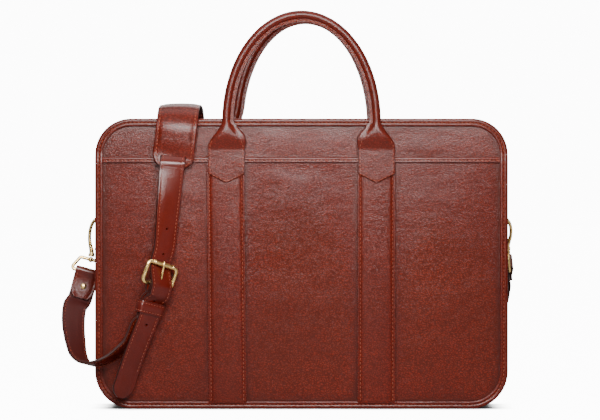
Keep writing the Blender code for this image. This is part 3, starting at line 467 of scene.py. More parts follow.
def mapped_grid(
    columns: int,
    rows: int,
    surface: Surface,
    painted_shade: Callable[[float, float], float] | None = None,
) -> bmesh.types.BMesh:
    """A grid whose every vertex is laid on a surface.

    Args:
        columns: faces across.
        rows: faces along.
        surface: gives the place at (across, along), both from 0 to 1.
        painted_shade: gives how much painted shade darkens the leather there, from 0 to 1.

    Returns:
        The grid as an open sheet.
    """
    shape = bmesh.new()
    bmesh.ops.create_grid(shape, x_segments=columns, y_segments=rows, size=1.0)
    # Each vertex carries its share of painted shade, which the leather finish reads.
    layer = shape.verts.layers.float.new("painted_shade")
    for vertex in shape.verts:
        across = round((vertex.co.x + 1) / 2 * columns) / columns
        along = round((vertex.co.y + 1) / 2 * rows) / rows
        vertex.co = surface(across, along)
        vertex[layer] = painted_shade(across, along) if painted_shade else 0.0
    return shape


def close_up(shape: bmesh.types.BMesh) -> bmesh.types.BMesh:
    """Weld a rolled-up grid's seam, fill its ends and turn its faces outwards.

    Args:
        shape: the rolled-up grid.

    Returns:
        The same mesh, closed.
    """
    bmesh.ops.remove_doubles(shape, verts=shape.verts, dist=1e-6)
    edges = [edge for edge in shape.edges if edge.is_boundary]
    if edges:
        bmesh.ops.holes_fill(shape, edges=edges, sides=0)
    bmesh.ops.recalc_face_normals(shape, faces=shape.faces)
    return shape


def thicken(made: bpy.types.Object, thickness: float, rounding: float = 0.0) -> None:
    """Give a sheet its thickness behind its face, with painted edges and a flesh side.

    Args:
        made: the piece.
        thickness: how thick the leather is.
        rounding: how far its edges are rounded.
    """
    wall = made.modifiers.new("Thickness", "SOLIDIFY")
    wall.thickness = thickness
    wall.offset = -1.0
    wall.use_even_offset = True
    wall.use_quality_normals = True
    wall.material_offset_rim = 1
    wall.material_offset = 2
    if rounding:
        edge = made.modifiers.new("Rounding", "BEVEL")
        edge.width = rounding
        edge.segments = 2
        edge.limit_method = "ANGLE"
        edge.angle_limit = math.radians(50)


def tube(
    points: Sequence[Vector],
    radii: Sequence[float],
    sides: int = 12,
    cyclic: bool = False,
    flatten: float = 1.0,
    side_way: Vector | None = None,
) -> bmesh.types.BMesh:
    """A round bar swept along points.

    Args:
        points: the bar's middle line.
        radii: its radius at each point.
        sides: faces round it.
        cyclic: whether it closes on itself.
        flatten: its thickness along side_way, as a share of the rest.
        side_way: a direction at right angles to the bar's plane.

    Returns:
        The closed bar.
    """
    count = len(points)
    normal = (side_way or Vector((0.0, 1.0, 0.0))).normalized()
    steps = count if cyclic else count - 1

    def surface(across: float, along: float) -> Vector:
        """The sheet's place there.

        Args:
            across: share of the way across, 0 to 1.
            along: share of the way along, 0 to 1.

        Returns:
            The point.
        """
        index = round(along * steps)
        before = points[(index - 1) % count] if cyclic else points[max(index - 1, 0)]
        after = points[(index + 1) % count] if cyclic else points[min(index + 1, count - 1)]
        direction = (after - before).normalized()
        inward = direction.cross(normal).normalized()
        through = inward.cross(direction).normalized()
        radius = radii[index % count]
        turn = math.tau * across
        return points[index % count] + radius * (
            inward * math.cos(turn) + through * math.sin(turn) * flatten
        )

    return close_up(mapped_grid(sides, steps, surface))


def smooth_route(rows: Sequence[Sequence[float]], steps: int) -> list[Vector]:
    """Points along a smooth curve through the rows, with every column carried along.

    Args:
        rows: the places that it passes through.
        steps: steps from each row to the next.

    Returns:
        The points, in order.
    """
    given = [Vector(row) for row in rows]
    given = [2 * given[0] - given[1], *given, 2 * given[-1] - given[-2]]
    route = []
    for before, start, end, after in zip(given, given[1:], given[2:], given[3:]):
        for step in range(steps):
            t = step / steps
            route.append(
                0.5
                * (
                    2 * start
                    + (end - before) * t
                    + (2 * before - 5 * start + 4 * end - after) * t**2
                    + (3 * start - before - 3 * end + after) * t**3
                )
            )
    return [*route, given[-2]]


@dataclass
class Seam:
    """A line of stitches. Each stitch lies on the leather at an even pitch."""

    pitch: float = 0.0040
    length: float = 0.0030
    thickness: float = 0.00075
    places: list[Matrix] = field(default_factory=list)

    def follow(self, line: Sequence[tuple[Vector, Vector]]) -> None:
        """Lay stitches along a line.

        Args:
            line: points on the leather, each with the leather's outward direction there.
        """
        travelled = 0.0
        due = self.pitch / 2
        for (start, facing), (end, _) in zip(line, line[1:]):
            step = end - start
            while step.length > 1e-9 and travelled + step.length >= due:
                middle = start + step * ((due - travelled) / step.length)
                self.lay(middle, step.normalized(), facing)
                due += self.pitch
            travelled += step.length

    def lay(self, middle: Vector, along: Vector, facing: Vector) -> None:
        """Lay one stitch, sunk by a third of its thickness.

        Args:
            middle: its middle.
            along: the way it runs.
            facing: the way out of the leather.
        """
        side = along.cross(facing).normalized()
        up = side.cross(along).normalized()
        turn = Matrix((along, side, up)).transposed().to_4x4()
        size = Matrix.Diagonal((self.length / 2, self.thickness / 2, self.thickness / 2, 1.0))
        self.places.append(Matrix.Translation(middle + up * self.thickness * 0.12) @ turn @ size)

    def sew(self, name: str, slot: str = "leather") -> bpy.types.Object:
        """Make all the stitches as one piece.

        Args:
            name: the piece's name.
            slot: a slot name, kept on the piece and not used.

        Returns:
            The finished piece.
        """
        whole = bpy.data.meshes.new(name)
        shape = bmesh.new()
        for start in range(0, len(self.places), 60):
            part = bmesh.new()
            for place in self.places[start : start + 60]:
                bmesh.ops.create_icosphere(part, subdivisions=1, radius=1.0, matrix=place)
            part.to_mesh(whole)
            part.free()
            shape.from_mesh(whole)
        bpy.data.meshes.remove(whole)
        return Piece(name, (Finish.THREAD,), slot).place(shape, angle=80.0)


def skin(
    rings: Sequence[Sequence[Vector]],
    cyclic: bool = False,
    painted: Sequence[int] = (),
    inner: Sequence[int] = (),
) -> bmesh.types.BMesh:
    """A closed skin over rings of points.

    Args:
        rings: rings of one count and sense, in order along the piece.
        cyclic: whether the last ring joins the first.
        painted: the columns of faces that take the second finish.
        inner: the columns of faces that take the third finish.

    Returns:
        The closed skin.
    """
    columns = len(rings[0])
    rows = len(rings) if cyclic else len(rings) - 1

    def surface(across: float, along: float) -> Vector:
        """The sheet's place there."""
        return rings[round(along * rows) % len(rings)][round(across * columns) % columns]

    shape = bmesh.new()
    bmesh.ops.create_grid(shape, x_segments=columns, y_segments=rows, size=1.0)
    for face in shape.faces:
        column = int((face.calc_center_median().x + 1) / 2 * columns)
        face.material_index = 1 if column in painted else 2 if column in inner else 0
    for vertex in shape.verts:
        vertex.co = surface((vertex.co.x + 1) / 2, (vertex.co.y + 1) / 2)
    return close_up(shape)


def joined(*parts: bmesh.types.BMesh) -> bmesh.types.BMesh:
    """Several meshes as one. The given ones are freed.

    Args:
        parts: the meshes.

    Returns:
        The mesh.
    """
    whole = bmesh.new()
    for part in parts:
        carrier = bpy.data.meshes.new("carrier")
        part.to_mesh(carrier)
        part.free()
        whole.from_mesh(carrier)
        bpy.data.meshes.remove(carrier)
    return whole


def cut(made: bpy.types.Object, tool: bmesh.types.BMesh) -> None:
    """Cut a tool's shape out of a piece.

    Args:
        made: the piece.
        tool: the shape to cut away.
    """
    mesh = bpy.data.meshes.new("cutter")
    tool.to_mesh(mesh)
    tool.free()
    cutter = bpy.data.objects.new("cutter", mesh)
    bpy.context.scene.collection.objects.link(cutter)
    step = made.modifiers.new("Cut", "BOOLEAN")
    step.solver = "EXACT"
    step.object = cutter
    graph = bpy.context.evaluated_depsgraph_get()
    made.data = bpy.data.meshes.new_from_object(made.evaluated_get(graph))
    made.modifiers.remove(step)
    bpy.data.objects.remove(cutter, do_unlink=True)


# The case


@dataclass(frozen=True)
class Station:
    """A point on the case's outline and the direction out of the case there."""

    x: float
    z: float
    out_x: float
    out_z: float

    def mirrored(self) -> "Station":
        """The same station on the left half."""
        return Station(-self.x, self.z, -self.out_x, self.out_z)

    def at(self, inset: float, y: float) -> Vector:
        """A point drawn in from the outline."""
        return Vector((self.x - self.out_x * inset, y, self.z - self.out_z * inset))


@dataclass(frozen=True)
class CaseShape:
    """The case's sizes, outline and soft faces, the same as its solids have."""

    width: float = 0.413
    height: float = 0.2905
    depth: float = 0.076
    top_corner: float = 0.036
    bottom_corner: float = 0.038
    leather: float = 0.0016
    gusset_leather: float = 0.0014
    binding_leather: float = 0.001
    binding: float = 0.0078
    gap: float = 0.0003
    side_inset: float = 0.012
    seam_below_corner: float = 0.012
    pocket_top: float = 0.252
    pocket_binding: float = 0.006
    swell: float = 0.0020
    bulge: float = 0.0003
    band_centre: float = 0.075
    band_width: float = 0.038
    band_leather: float = 0.0014

    @property
    def panel(self) -> float:
        """Distance of the panels' outer faces from the middle."""
        return self.depth / 2

    @property
    def pocket(self) -> float:
        """Distance of the flat pocket's outer face from the middle."""
        return self.panel + self.gap + self.leather

    @property
    def flange(self) -> float:
        """Distance of the gusset's turned-out edge from the middle."""
        return self.panel - self.leather - self.gap

    @property
    def edge_inset(self) -> float:
        """How far inside the outline the panels end."""
        return self.binding_leather + 3 * self.gap

    @property
    def gusset_inset(self) -> float:
        """How far inside the outline the gusset turns into the case."""
        return self.binding + self.gusset_leather

    @property
    def seam_z(self) -> float:
        """Height of the seam between the gusset and the top strips."""
        return self.height - self.top_corner - self.seam_below_corner

    def half_width(self, z: float, inset: float) -> float:
        """Half the width of the drawn-in outline at this height.

        Args:
            z: height.
            inset: distance in from the case's outline.

        Returns:
            The value there.
        """
        half = self.width / 2 - inset
        low, high = self.bottom_corner - inset, self.top_corner - inset
        if z < self.bottom_corner:
            return half - low + math.sqrt(max(low**2 - (self.bottom_corner - z) ** 2, 0.0))
        above = z - self.height + self.top_corner
        if above > 0:
            return half - high + math.sqrt(max(high**2 - above**2, 0.0))
        return half

    def across(self, x: float) -> float:
        """How freely the leather stands off at x: 0 at the bands and sides, up to 1 between.

        Args:
            x: place across the case.

        Returns:
            The value there.
        """
        from_band = (abs(abs(x) - self.band_centre) - 0.52 * self.band_width) / self.band_width
        from_side = 1 - (abs(x) / (self.width / 2 - self.binding)) ** 6
        return smoothstep(from_band) * max(from_side, 0.0)

    def ripple(self, x: float, z: float) -> float:
        """Soft unevenness of large leather faces, in metres.

        Args:
            x: place across the case.
            z: height.

        Returns:
            The value there.
        """
        broad = noise.noise(Vector((15.0 * x, 3.1, 11.0 * z)))
        folds = noise.noise(Vector((26.0 * x + 2.0, 7.7, 60.0 * z)))
        fine = noise.noise(Vector((70.0 * x, 1.3, 70.0 * z)))
        return 0.0008 * broad + 0.00030 * folds + 0.00012 * fine

    def panel_y(self, x: float, z: float) -> float:
        """Outer face of the front panel."""
        above = max(z - self.pocket_top, 0.0) / (self.height - self.pocket_top - self.binding)
        return -self.panel - self.bulge * self.across(x) * math.sin(math.pi * min(above, 1.0))

    def pocket_y(self, x: float, z: float) -> float:
        """Outer face of the pocket, swelling out towards its mouth.

        Args:
            x: place across the case.
            z: height.

        Returns:
            The value there.
        """
        free = self.across(x)
        ripple = self.ripple(x, z) * free * smoothstep(z / 0.12)
        return -self.pocket - self.swell * free * smoothstep(1.25 * z / self.pocket_top - 0.1) - ripple

    def half_outline(self, step: float) -> list[Station]:
        """Stations up the right half of the outline, from bottom middle to top middle.

        Args:
            step: the longest step between stations.

        Returns:
            The stations, in order.
        """
        half = self.width / 2
        stations: list[Station] = []

        def straight(start: tuple[float, float], end: tuple[float, float], out: tuple[float, float]) -> None:
            """Add stations along a straight stretch.

            Args:
                start: where the stretch starts.
                end: where it ends.
                out: the way out of the case there.
            """
            count = max(round(math.dist(start, end) / step), 1)
            for index in range(count):
                share = index / count
                x, z = between(start[0], end[0], share), between(start[1], end[1], share)
                stations.append(Station(x, z, *out))

        def corner(radius: float, centre_z: float, first: float) -> None:
            """Add stations round a corner.

            Args:
                radius: the radius.
                centre_z: the height of the corner's centre.
                first: the angle that it starts at.
            """
            count = max(round(math.pi / 2 * radius / step), 2)
            for index in range(count):
                angle = first + math.pi / 2 * index / count
                out = (math.cos(angle), math.sin(angle))
                stations.append(Station(half - radius + radius * out[0], centre_z + radius * out[1], *out))

        straight((0.0, 0.0), (half - self.bottom_corner, 0.0), (0.0, -1.0))
        corner(self.bottom_corner, self.bottom_corner, -math.pi / 2)
        straight((half, self.bottom_corner), (half, self.seam_z), (1.0, 0.0))
        straight((half, self.seam_z), (half, self.height - self.top_corner), (1.0, 0.0))
        corner(self.top_corner, self.height - self.top_corner, 0.0)
        straight((half - self.top_corner, self.height), (0.0, self.height), (0.0, 1.0))
        return [*stations, Station(0.0, self.height, 0.0, 1.0)]

    def whole_outline(self, step: float) -> list[Station]:
        """Stations once round, ending where they start."""
        half = self.half_outline(step)
        return half + [station.mirrored() for station in reversed(half)][1:]


def flipped(shape: bmesh.types.BMesh) -> bmesh.types.BMesh:
    """The mirror image of a sheet across the middle of the case.

    Args:
        shape: the mesh.

    Returns:
        The mesh.
    """
    bmesh.ops.scale(shape, vec=(1.0, -1.0, 1.0), verts=shape.verts)
    bmesh.ops.reverse_faces(shape, faces=shape.faces)
    return shape


@dataclass
class CaseBody:
    """Both panels, the strip round the sides, the top strips, the bindings and the bands."""

    shape: CaseShape
    columns: int = 132
    stitch_inset: float = 0.0042

    def build(self) -> list[bpy.types.Object]:
        """Make every piece of the body.

        Returns:
            The finished pieces.
        """
        made = [*self.panels(), *self.gussets()]
        made += [self.binding("front"), self.binding("back")]
        for where, side in (("left", -1), ("right", 1)):
            made.append(self.band("front", where, side))
            made.append(self.band("back", where, side))
        return [*made, *self.stitches()]

    def panels(self) -> list[bpy.types.Object]:
        """The two large faces.

        Returns:
            The finished pieces.
        """
        case = self.shape
        low, high = case.edge_inset, case.height - case.edge_inset

        def height_at(along: float) -> float:
            """The height at a share of the way along."""
            return between(low, high, 0.5 - 0.5 * math.cos(math.pi * along))

        def front(across: float, along: float) -> Vector:
            """The front face's place there.

            Args:
                across: share of the way across, 0 to 1.
                along: share of the way along, 0 to 1.

            Returns:
                The point.
            """
            z = height_at(along)
            x = case.half_width(z, case.edge_inset) * (2 * across - 1)
            free = 0.6 * case.across(x) * smoothstep((high - z) / 0.02)
            return Vector((x, case.panel_y(x, z) + case.ripple(x + 0.5, z) * free, z))

        def back(across: float, along: float) -> Vector:
            """The back face's place there.

            Args:
                across: share of the way across, 0 to 1.
                along: share of the way along, 0 to 1.

            Returns:
                The point.
            """
            z = height_at(along)
            x = case.half_width(z, case.edge_inset) * (2 * across - 1)
            free = case.across(x) * smoothstep((high - z) / 0.03) * smoothstep((z - low) / 0.03)
            return Vector((x, -case.panel - (0.0012 + case.ripple(x, z + 0.7)) * free, z))

        def painted_shade(across: float, along: float) -> float:
            """How much painted shade darkens the leather there, from 0 to 1: a broad band and a narrow dark
            line inside the binding.

            Args:
                across: share of the way across, 0 to 1.
                along: share of the way along, 0 to 1.

            Returns:
                The value there.
            """
            edge = min(across, 1 - across) * case.width
            rim = min(height_at(along), case.height - height_at(along))
            inside = min(edge, rim) - case.binding
            return 0.35 * (1 - smoothstep(inside / 0.012)) + 0.65 * (1 - smoothstep(inside / 0.003))

        faces = mapped_grid(self.columns, 72, front, painted_shade)
        rear_faces = flipped(mapped_grid(self.columns, 72, back, painted_shade))
        panel = Piece("panel_front", LEATHER_FACES, "leather", replaces=("front_panel",))
        rear = Piece("panel_back", LEATHER_FACES, "leather", replaces=("back_panel",))
        return [panel.sheet(faces, case.leather), rear.sheet(rear_faces, case.leather)]

    def ribbon(self, stations: Sequence[Station], sections: Sequence[Section]) -> bmesh.types.BMesh:
        """A sheet that follows the outline, one section of (inset, y) pairs a station.

        Args:
            stations: places round the outline.
            sections: the profile at each station.

        Returns:
            The mesh.
        """
        columns, rows = len(stations) - 1, len(sections[0]) - 1

        def surface(across: float, along: float) -> Vector:
            """The sheet's place there."""
            index = round(across * columns)
            return stations[index].at(*sections[index][round(along * rows)])

        return mapped_grid(columns, rows, surface)

    def flange(self) -> list[tuple[float, float]]:
        """The turned-out edge sewn under the binding, then the fold into the case.

        Returns:
            The profile's points.
        """
        case = self.shape
        leather, inset = case.gusset_leather, case.gusset_inset
        outside = case.flange - leather
        return [
            (case.edge_inset, outside),
            (inset - leather, outside),
            (inset - 0.1 * leather, outside - 0.2 * leather),
            (inset + 0.3 * leather, outside - leather),
        ]

    def gussets(self) -> list[bpy.types.Object]:
        """The strip round the bottom and sides, and the two strips beside the zip.

        Returns:
            The finished pieces.
        """
        case = self.shape
        half = [station for station in case.half_outline(0.004) if station.z <= case.seam_z - case.gap]
        stations = [station.mirrored() for station in reversed(half)][:-1] + half
        sections = []
        for station in stations:
            lift = smoothstep(station.z / case.bottom_corner)
            middle = case.side_inset * lift
            shoulder = between(case.gusset_inset, middle, 0.6)
            soft = 0.0009 * noise.noise(Vector((20 * station.x, 0.4, 20 * station.z))) * lift
            crease = 0.0012 * lift * math.sin(math.pi * min(station.z / case.seam_z, 1.0))
            rows = [*self.flange(), (shoulder, 0.72 * case.flange), (middle + soft, 0.5 * case.flange)]
            rows.append((middle + crease + soft, 0.25 * case.flange))
            centre = (middle + 1.8 * crease + soft, 0.0)
            whole = [*rows, centre, *((inset, -y) for inset, y in reversed(rows))]
            sections.append([tuple(point) for point in smooth_route(whole, 3)])
        low = Piece("gusset_leather", LEATHER_FACES, "leather", replaces=("gusset",))
        gusset = low.sheet(self.ribbon(stations, sections), case.gusset_leather)
        return [gusset, self.top_gusset("front"), self.top_gusset("back")]

    def top_gusset(self, facing: str) -> bpy.types.Object:
        """One strip beside the zip.

        Args:
            facing: front or back.

        Returns:
            The finished piece.
        """
        case = self.shape
        half = [station for station in case.half_outline(0.004) if station.z >= case.seam_z]
        stations = half + [station.mirrored() for station in reversed(half)][1:]
        level = case.gusset_inset - case.gusset_leather
        sections = []
        for station in stations:
            edge = ZIP.strip_edge(station.x) if station.out_z > 0.999 else case.gap / 2
            shoulder = 0.5 * (0.9 * case.flange + edge)
            bulge = 0.0007 * smoothstep(station.out_z)
            rows = [*self.flange(), (level - bulge, between(case.flange, shoulder, 0.7))]
            rows += [(level - bulge, shoulder), (level, between(shoulder, edge, 0.6)), (level, edge)]
            sections.append([(point.x, -point.y) for point in reversed(smooth_route(rows, 3))])
        sheet = self.ribbon(stations, sections)
        if facing == "back":
            sheet = flipped(sheet)
        strip = Piece(f"top_strip_{facing}", LEATHER_FACES, "leather", replaces=(f"top_gusset_{facing}",))
        return strip.sheet(sheet, case.gusset_leather)

    def outer_face(self, station: Station, facing: str) -> float:
        """How far the binding's outer face stands from the middle of the case.

        Args:
            station: a place on the outline.
            facing: front or back.

        Returns:
            The value there.
        """
        case = self.shape
        over_pocket = 0.0
        if facing == "front":
            over_pocket = smoothstep((case.pocket_top + 0.003 - station.z) / 0.006)
        return between(case.panel, case.pocket, over_pocket) + case.gap + case.binding_leather

    def binding(self, facing: str) -> bpy.types.Object:
        """The folded strip round one face's edge.

        Args:
            facing: front or back.

        Returns:
            The finished piece.
        """
        case = self.shape
        stations = case.whole_outline(0.0028)
        width, leather = case.binding, case.binding_leather
        back = case.flange - case.gusset_leather - case.gap - leather
        sections = []
        for station in stations:
            front = self.outer_face(station, facing)
            wave = 0.00015 * noise.noise(Vector((60 * station.x, 2.0, 60 * station.z)))
            groove, puff = 0.00022, 0.00035 + wave
            turn = 1.5 * leather
            section = [(width, -back), (2.0 * turn, -back), (turn, -back)]
            section += [(0.3 * turn, -back - 0.3 * turn), (0.0, -back - turn), (0.0, -front + turn)]
            section += [(0.3 * turn, -front + 0.3 * turn), (turn, -front - 0.3 * puff)]
            section += [(share * self.stitch_inset, -front - rise) for share, rise in
                        ((0.6, puff), (0.88, 0.5 * puff), (1.0, -groove), (1.12, 0.5 * puff))]
            section += [(0.8 * width, -front - puff), (width - 0.0008, -front - 0.4 * puff), (width, -front)]
            sections.append(section)
        sheet = self.ribbon(stations, sections)
        bmesh.ops.remove_doubles(sheet, verts=sheet.verts, dist=1e-6)
        if facing == "back":
            sheet = flipped(sheet)
        nodes = (f"{facing}_binding",)
        strip = Piece(f"edge_binding_{facing}", LEATHER_FACES, "leather_edge", replaces=nodes)
        return strip.sheet(sheet, 0.9 * leather)

    def band_x(self, facing: str, side: int, z: float) -> float:
        """Middle line of a band. The front left one isn't quite upright."""
        lean = 0.0012 * (1 - 2 * z / self.shape.pocket_top) if facing == "front" and side < 0 else 0.0
        return side * self.shape.band_centre + lean

    def band(self, facing: str, where: str, side: int) -> bpy.types.Object:
        """One vertical strip below a handle, a little fuller between its two rows of stitches.

        Args:
            facing: front or back.
            where: left or right.
            side: -1 for the left, 1 for the right.

        Returns:
            The finished piece.
        """
        case = self.shape
        low, high = case.binding - 0.002, case.pocket_top - case.pocket_binding - case.gap
        under = case.pocket if facing == "front" else case.panel
        half = case.band_width / 2
        stitch = half - 0.0028
        right = [
            (0.0, 0.0009), (0.35 * half, 0.0008), (0.65 * half, 0.0006), (stitch - 0.0007, 0.0002),
            (stitch, -0.00025), (stitch + 0.0007, 0.00015), (half - 0.0006, 0.0001), (half, 0.0),
        ]
        profile = [(-across, lift) for across, lift in reversed(right)][:-1] + right
        columns = len(profile) - 1

        def surface(across: float, along: float) -> Vector:
            """The sheet's place there.

            Args:
                across: share of the way across, 0 to 1.
                along: share of the way along, 0 to 1.

            Returns:
                The point.
            """
            offset, lift = profile[round(across * columns)]
            z = between(low, high, along)
            lift += 0.25 * case.ripple(3 * offset, z + 0.3 * side) if abs(offset) < stitch else 0.0
            out = under + case.gap + case.band_leather + lift
            return Vector((self.band_x(facing, side, z) + offset, -out, z))

        sheet = mapped_grid(columns, 90, surface)
        if facing == "back":
            sheet = flipped(sheet)
        nodes = (f"{facing}_band_{where}",)
        strip = Piece(f"strip_{facing}_{where}", LEATHER_FACES, "leather", replaces=nodes)
        return strip.sheet(sheet, case.band_leather, 0.0002)

    def stitches(self) -> list[bpy.types.Object]:
        """The rows of stitches on bindings, bands and top strips.

        Returns:
            The finished pieces.
        """
        case = self.shape
        made = []
        for facing, sign in (("front", -1), ("back", 1)):
            seam = Seam()
            out = Vector((0.0, sign, 0.0))
            line = []
            for station in case.whole_outline(0.002):
                face = self.outer_face(station, facing) - 0.0001
                line.append((station.at(self.stitch_inset, sign * face), out))
            seam.follow(line)
            made.append(seam.sew(f"stitches_binding_{facing}", "leather_edge"))
            seam = Seam()
            under = case.pocket if facing == "front" else case.panel
            face = under + case.gap + case.band_leather - 0.0002
            low, high = case.binding, case.pocket_top - case.pocket_binding - case.gap
            for side in (-1, 1):
                for edge in (-1, 1):
                    line = []
                    for step in range(41):
                        z = between(low, high, step / 40)
                        x = self.band_x(facing, side, z) + edge * (case.band_width / 2 - 0.0028)
                        line.append((Vector((x, sign * face, z)), out))
                    seam.follow(line)
            made.append(seam.sew(f"stitches_strips_{facing}"))
        seam = Seam()
        top = case.height - case.gusset_inset + case.gusset_leather
        for sign in (-1, 1):
            line = []
            for step in range(121):
                x = between(-0.172, 0.172, step / 120)
                line.append((Vector((x, sign * (ZIP.strip_edge(x) + 0.0022), top)), Vector((0.0, 0.0, 1.0))))
            seam.follow(line)
        made.append(seam.sew("stitches_zip"))
        return made


@dataclass
class FrontPocket:
    """The full-width pocket over the front face and the strip bound over its mouth."""

    shape: CaseShape
    columns: int = 176
    rows: int = 96

    def build(self) -> list[bpy.types.Object]:
        """Make the pocket, its binding and its stitches."""
        return [self.panel(), self.mouth(), self.stitches()]

    def panel(self) -> bpy.types.Object:
        """The pocket's soft panel.

        Returns:
            The finished piece.
        """
        case = self.shape
        low = case.edge_inset
        high = case.pocket_top - case.binding_leather - case.gap

        def height_at(along: float) -> float:
            """The height at a share of the way along."""
            return between(low, high, 1 - math.cos(math.pi / 2 * along))

        def surface(across: float, along: float) -> Vector:
            """The sheet's place there.

            Args:
                across: share of the way across, 0 to 1.
                along: share of the way along, 0 to 1.

            Returns:
                The point.
            """
            z = height_at(along)
            x = case.half_width(z, case.edge_inset) * (2 * across - 1)
            return Vector((x, case.pocket_y(x, z), z))

        def painted_shade(across: float, along: float) -> float:
            """How much painted shade darkens the pocket there, from 0 to 1: a broad band and a narrow dark
            line along the binding and beside each strip.

            Args:
                across: share of the way across, 0 to 1.
                along: share of the way along, 0 to 1.

            Returns:
                The value there.
            """
            x = case.width / 2 * (2 * across - 1)
            beside_band = abs(abs(x) - case.band_centre) - case.band_width / 2
            rim = min(height_at(along), case.width / 2 - abs(x)) - case.binding
            broad = 1 - smoothstep(min(rim / 0.012, max(beside_band, 0.0) / 0.007))
            line = 1 - smoothstep(min(rim / 0.003, max(beside_band, 0.0) / 0.003))
            return 0.35 * broad + 0.65 * line

        faces = mapped_grid(self.columns, self.rows, surface, painted_shade)
        made = Piece("pocket_panel", LEATHER_FACES, "leather", replaces=("front_pocket",))
        return made.sheet(faces, case.leather)

    def mouth(self) -> bpy.types.Object:
        """The strip folded over the pocket's top edge.

        Returns:
            The finished piece.
        """
        case = self.shape
        reach = case.width / 2 - case.binding - case.gap
        leather = case.binding_leather
        front = case.gap + leather
        back = -case.leather - case.gap / 3
        width = case.pocket_binding
        profile = [
            (width, front), (width - 0.0006, front + 0.0002), (0.72 * width, front + 0.0003),
            (0.55 * width, front), (0.40 * width, front + 0.0003), (0.18 * width, front + 0.0001),
            (0.03 * width, front - 0.0005), (0.0, 0.3 * (front + back)), (0.04 * width, back + 0.0004),
            (0.12 * width, back), (1.3 * leather, back), (1.3 * leather, 0.4 * case.gap),
            (0.5 * width, 0.4 * case.gap), (width, 0.4 * case.gap),
        ]
        rings = []
        for step in range(self.columns + 1):
            x = between(-reach, reach, step / self.columns)
            y = case.pocket_y(x, case.pocket_top)
            rings.append([Vector((x, y - ahead, case.pocket_top - down)) for down, ahead in profile])
        strip = Piece("pocket_mouth_strip", LEATHER_FACES, "leather_edge", replaces=("pocket_binding",))
        return strip.place(skin(rings, painted=(0, 12, 13)))

    def stitches(self) -> bpy.types.Object:
        """The row of stitches along the mouth.

        Returns:
            The finished piece.
        """
        case = self.shape
        reach = case.width / 2 - case.binding - 0.001
        seam = Seam()
        z = case.pocket_top - 0.55 * case.pocket_binding
        line = []
        for step in range(201):
            x = between(-reach, reach, step / 200)
            y = case.pocket_y(x, case.pocket_top) - case.gap - case.binding_leather
            line.append((Vector((x, y, z)), Vector((0.0, -1.0, 0.0))))
        seam.follow(line)
        return seam.sew("stitches_pocket", "leather_edge")


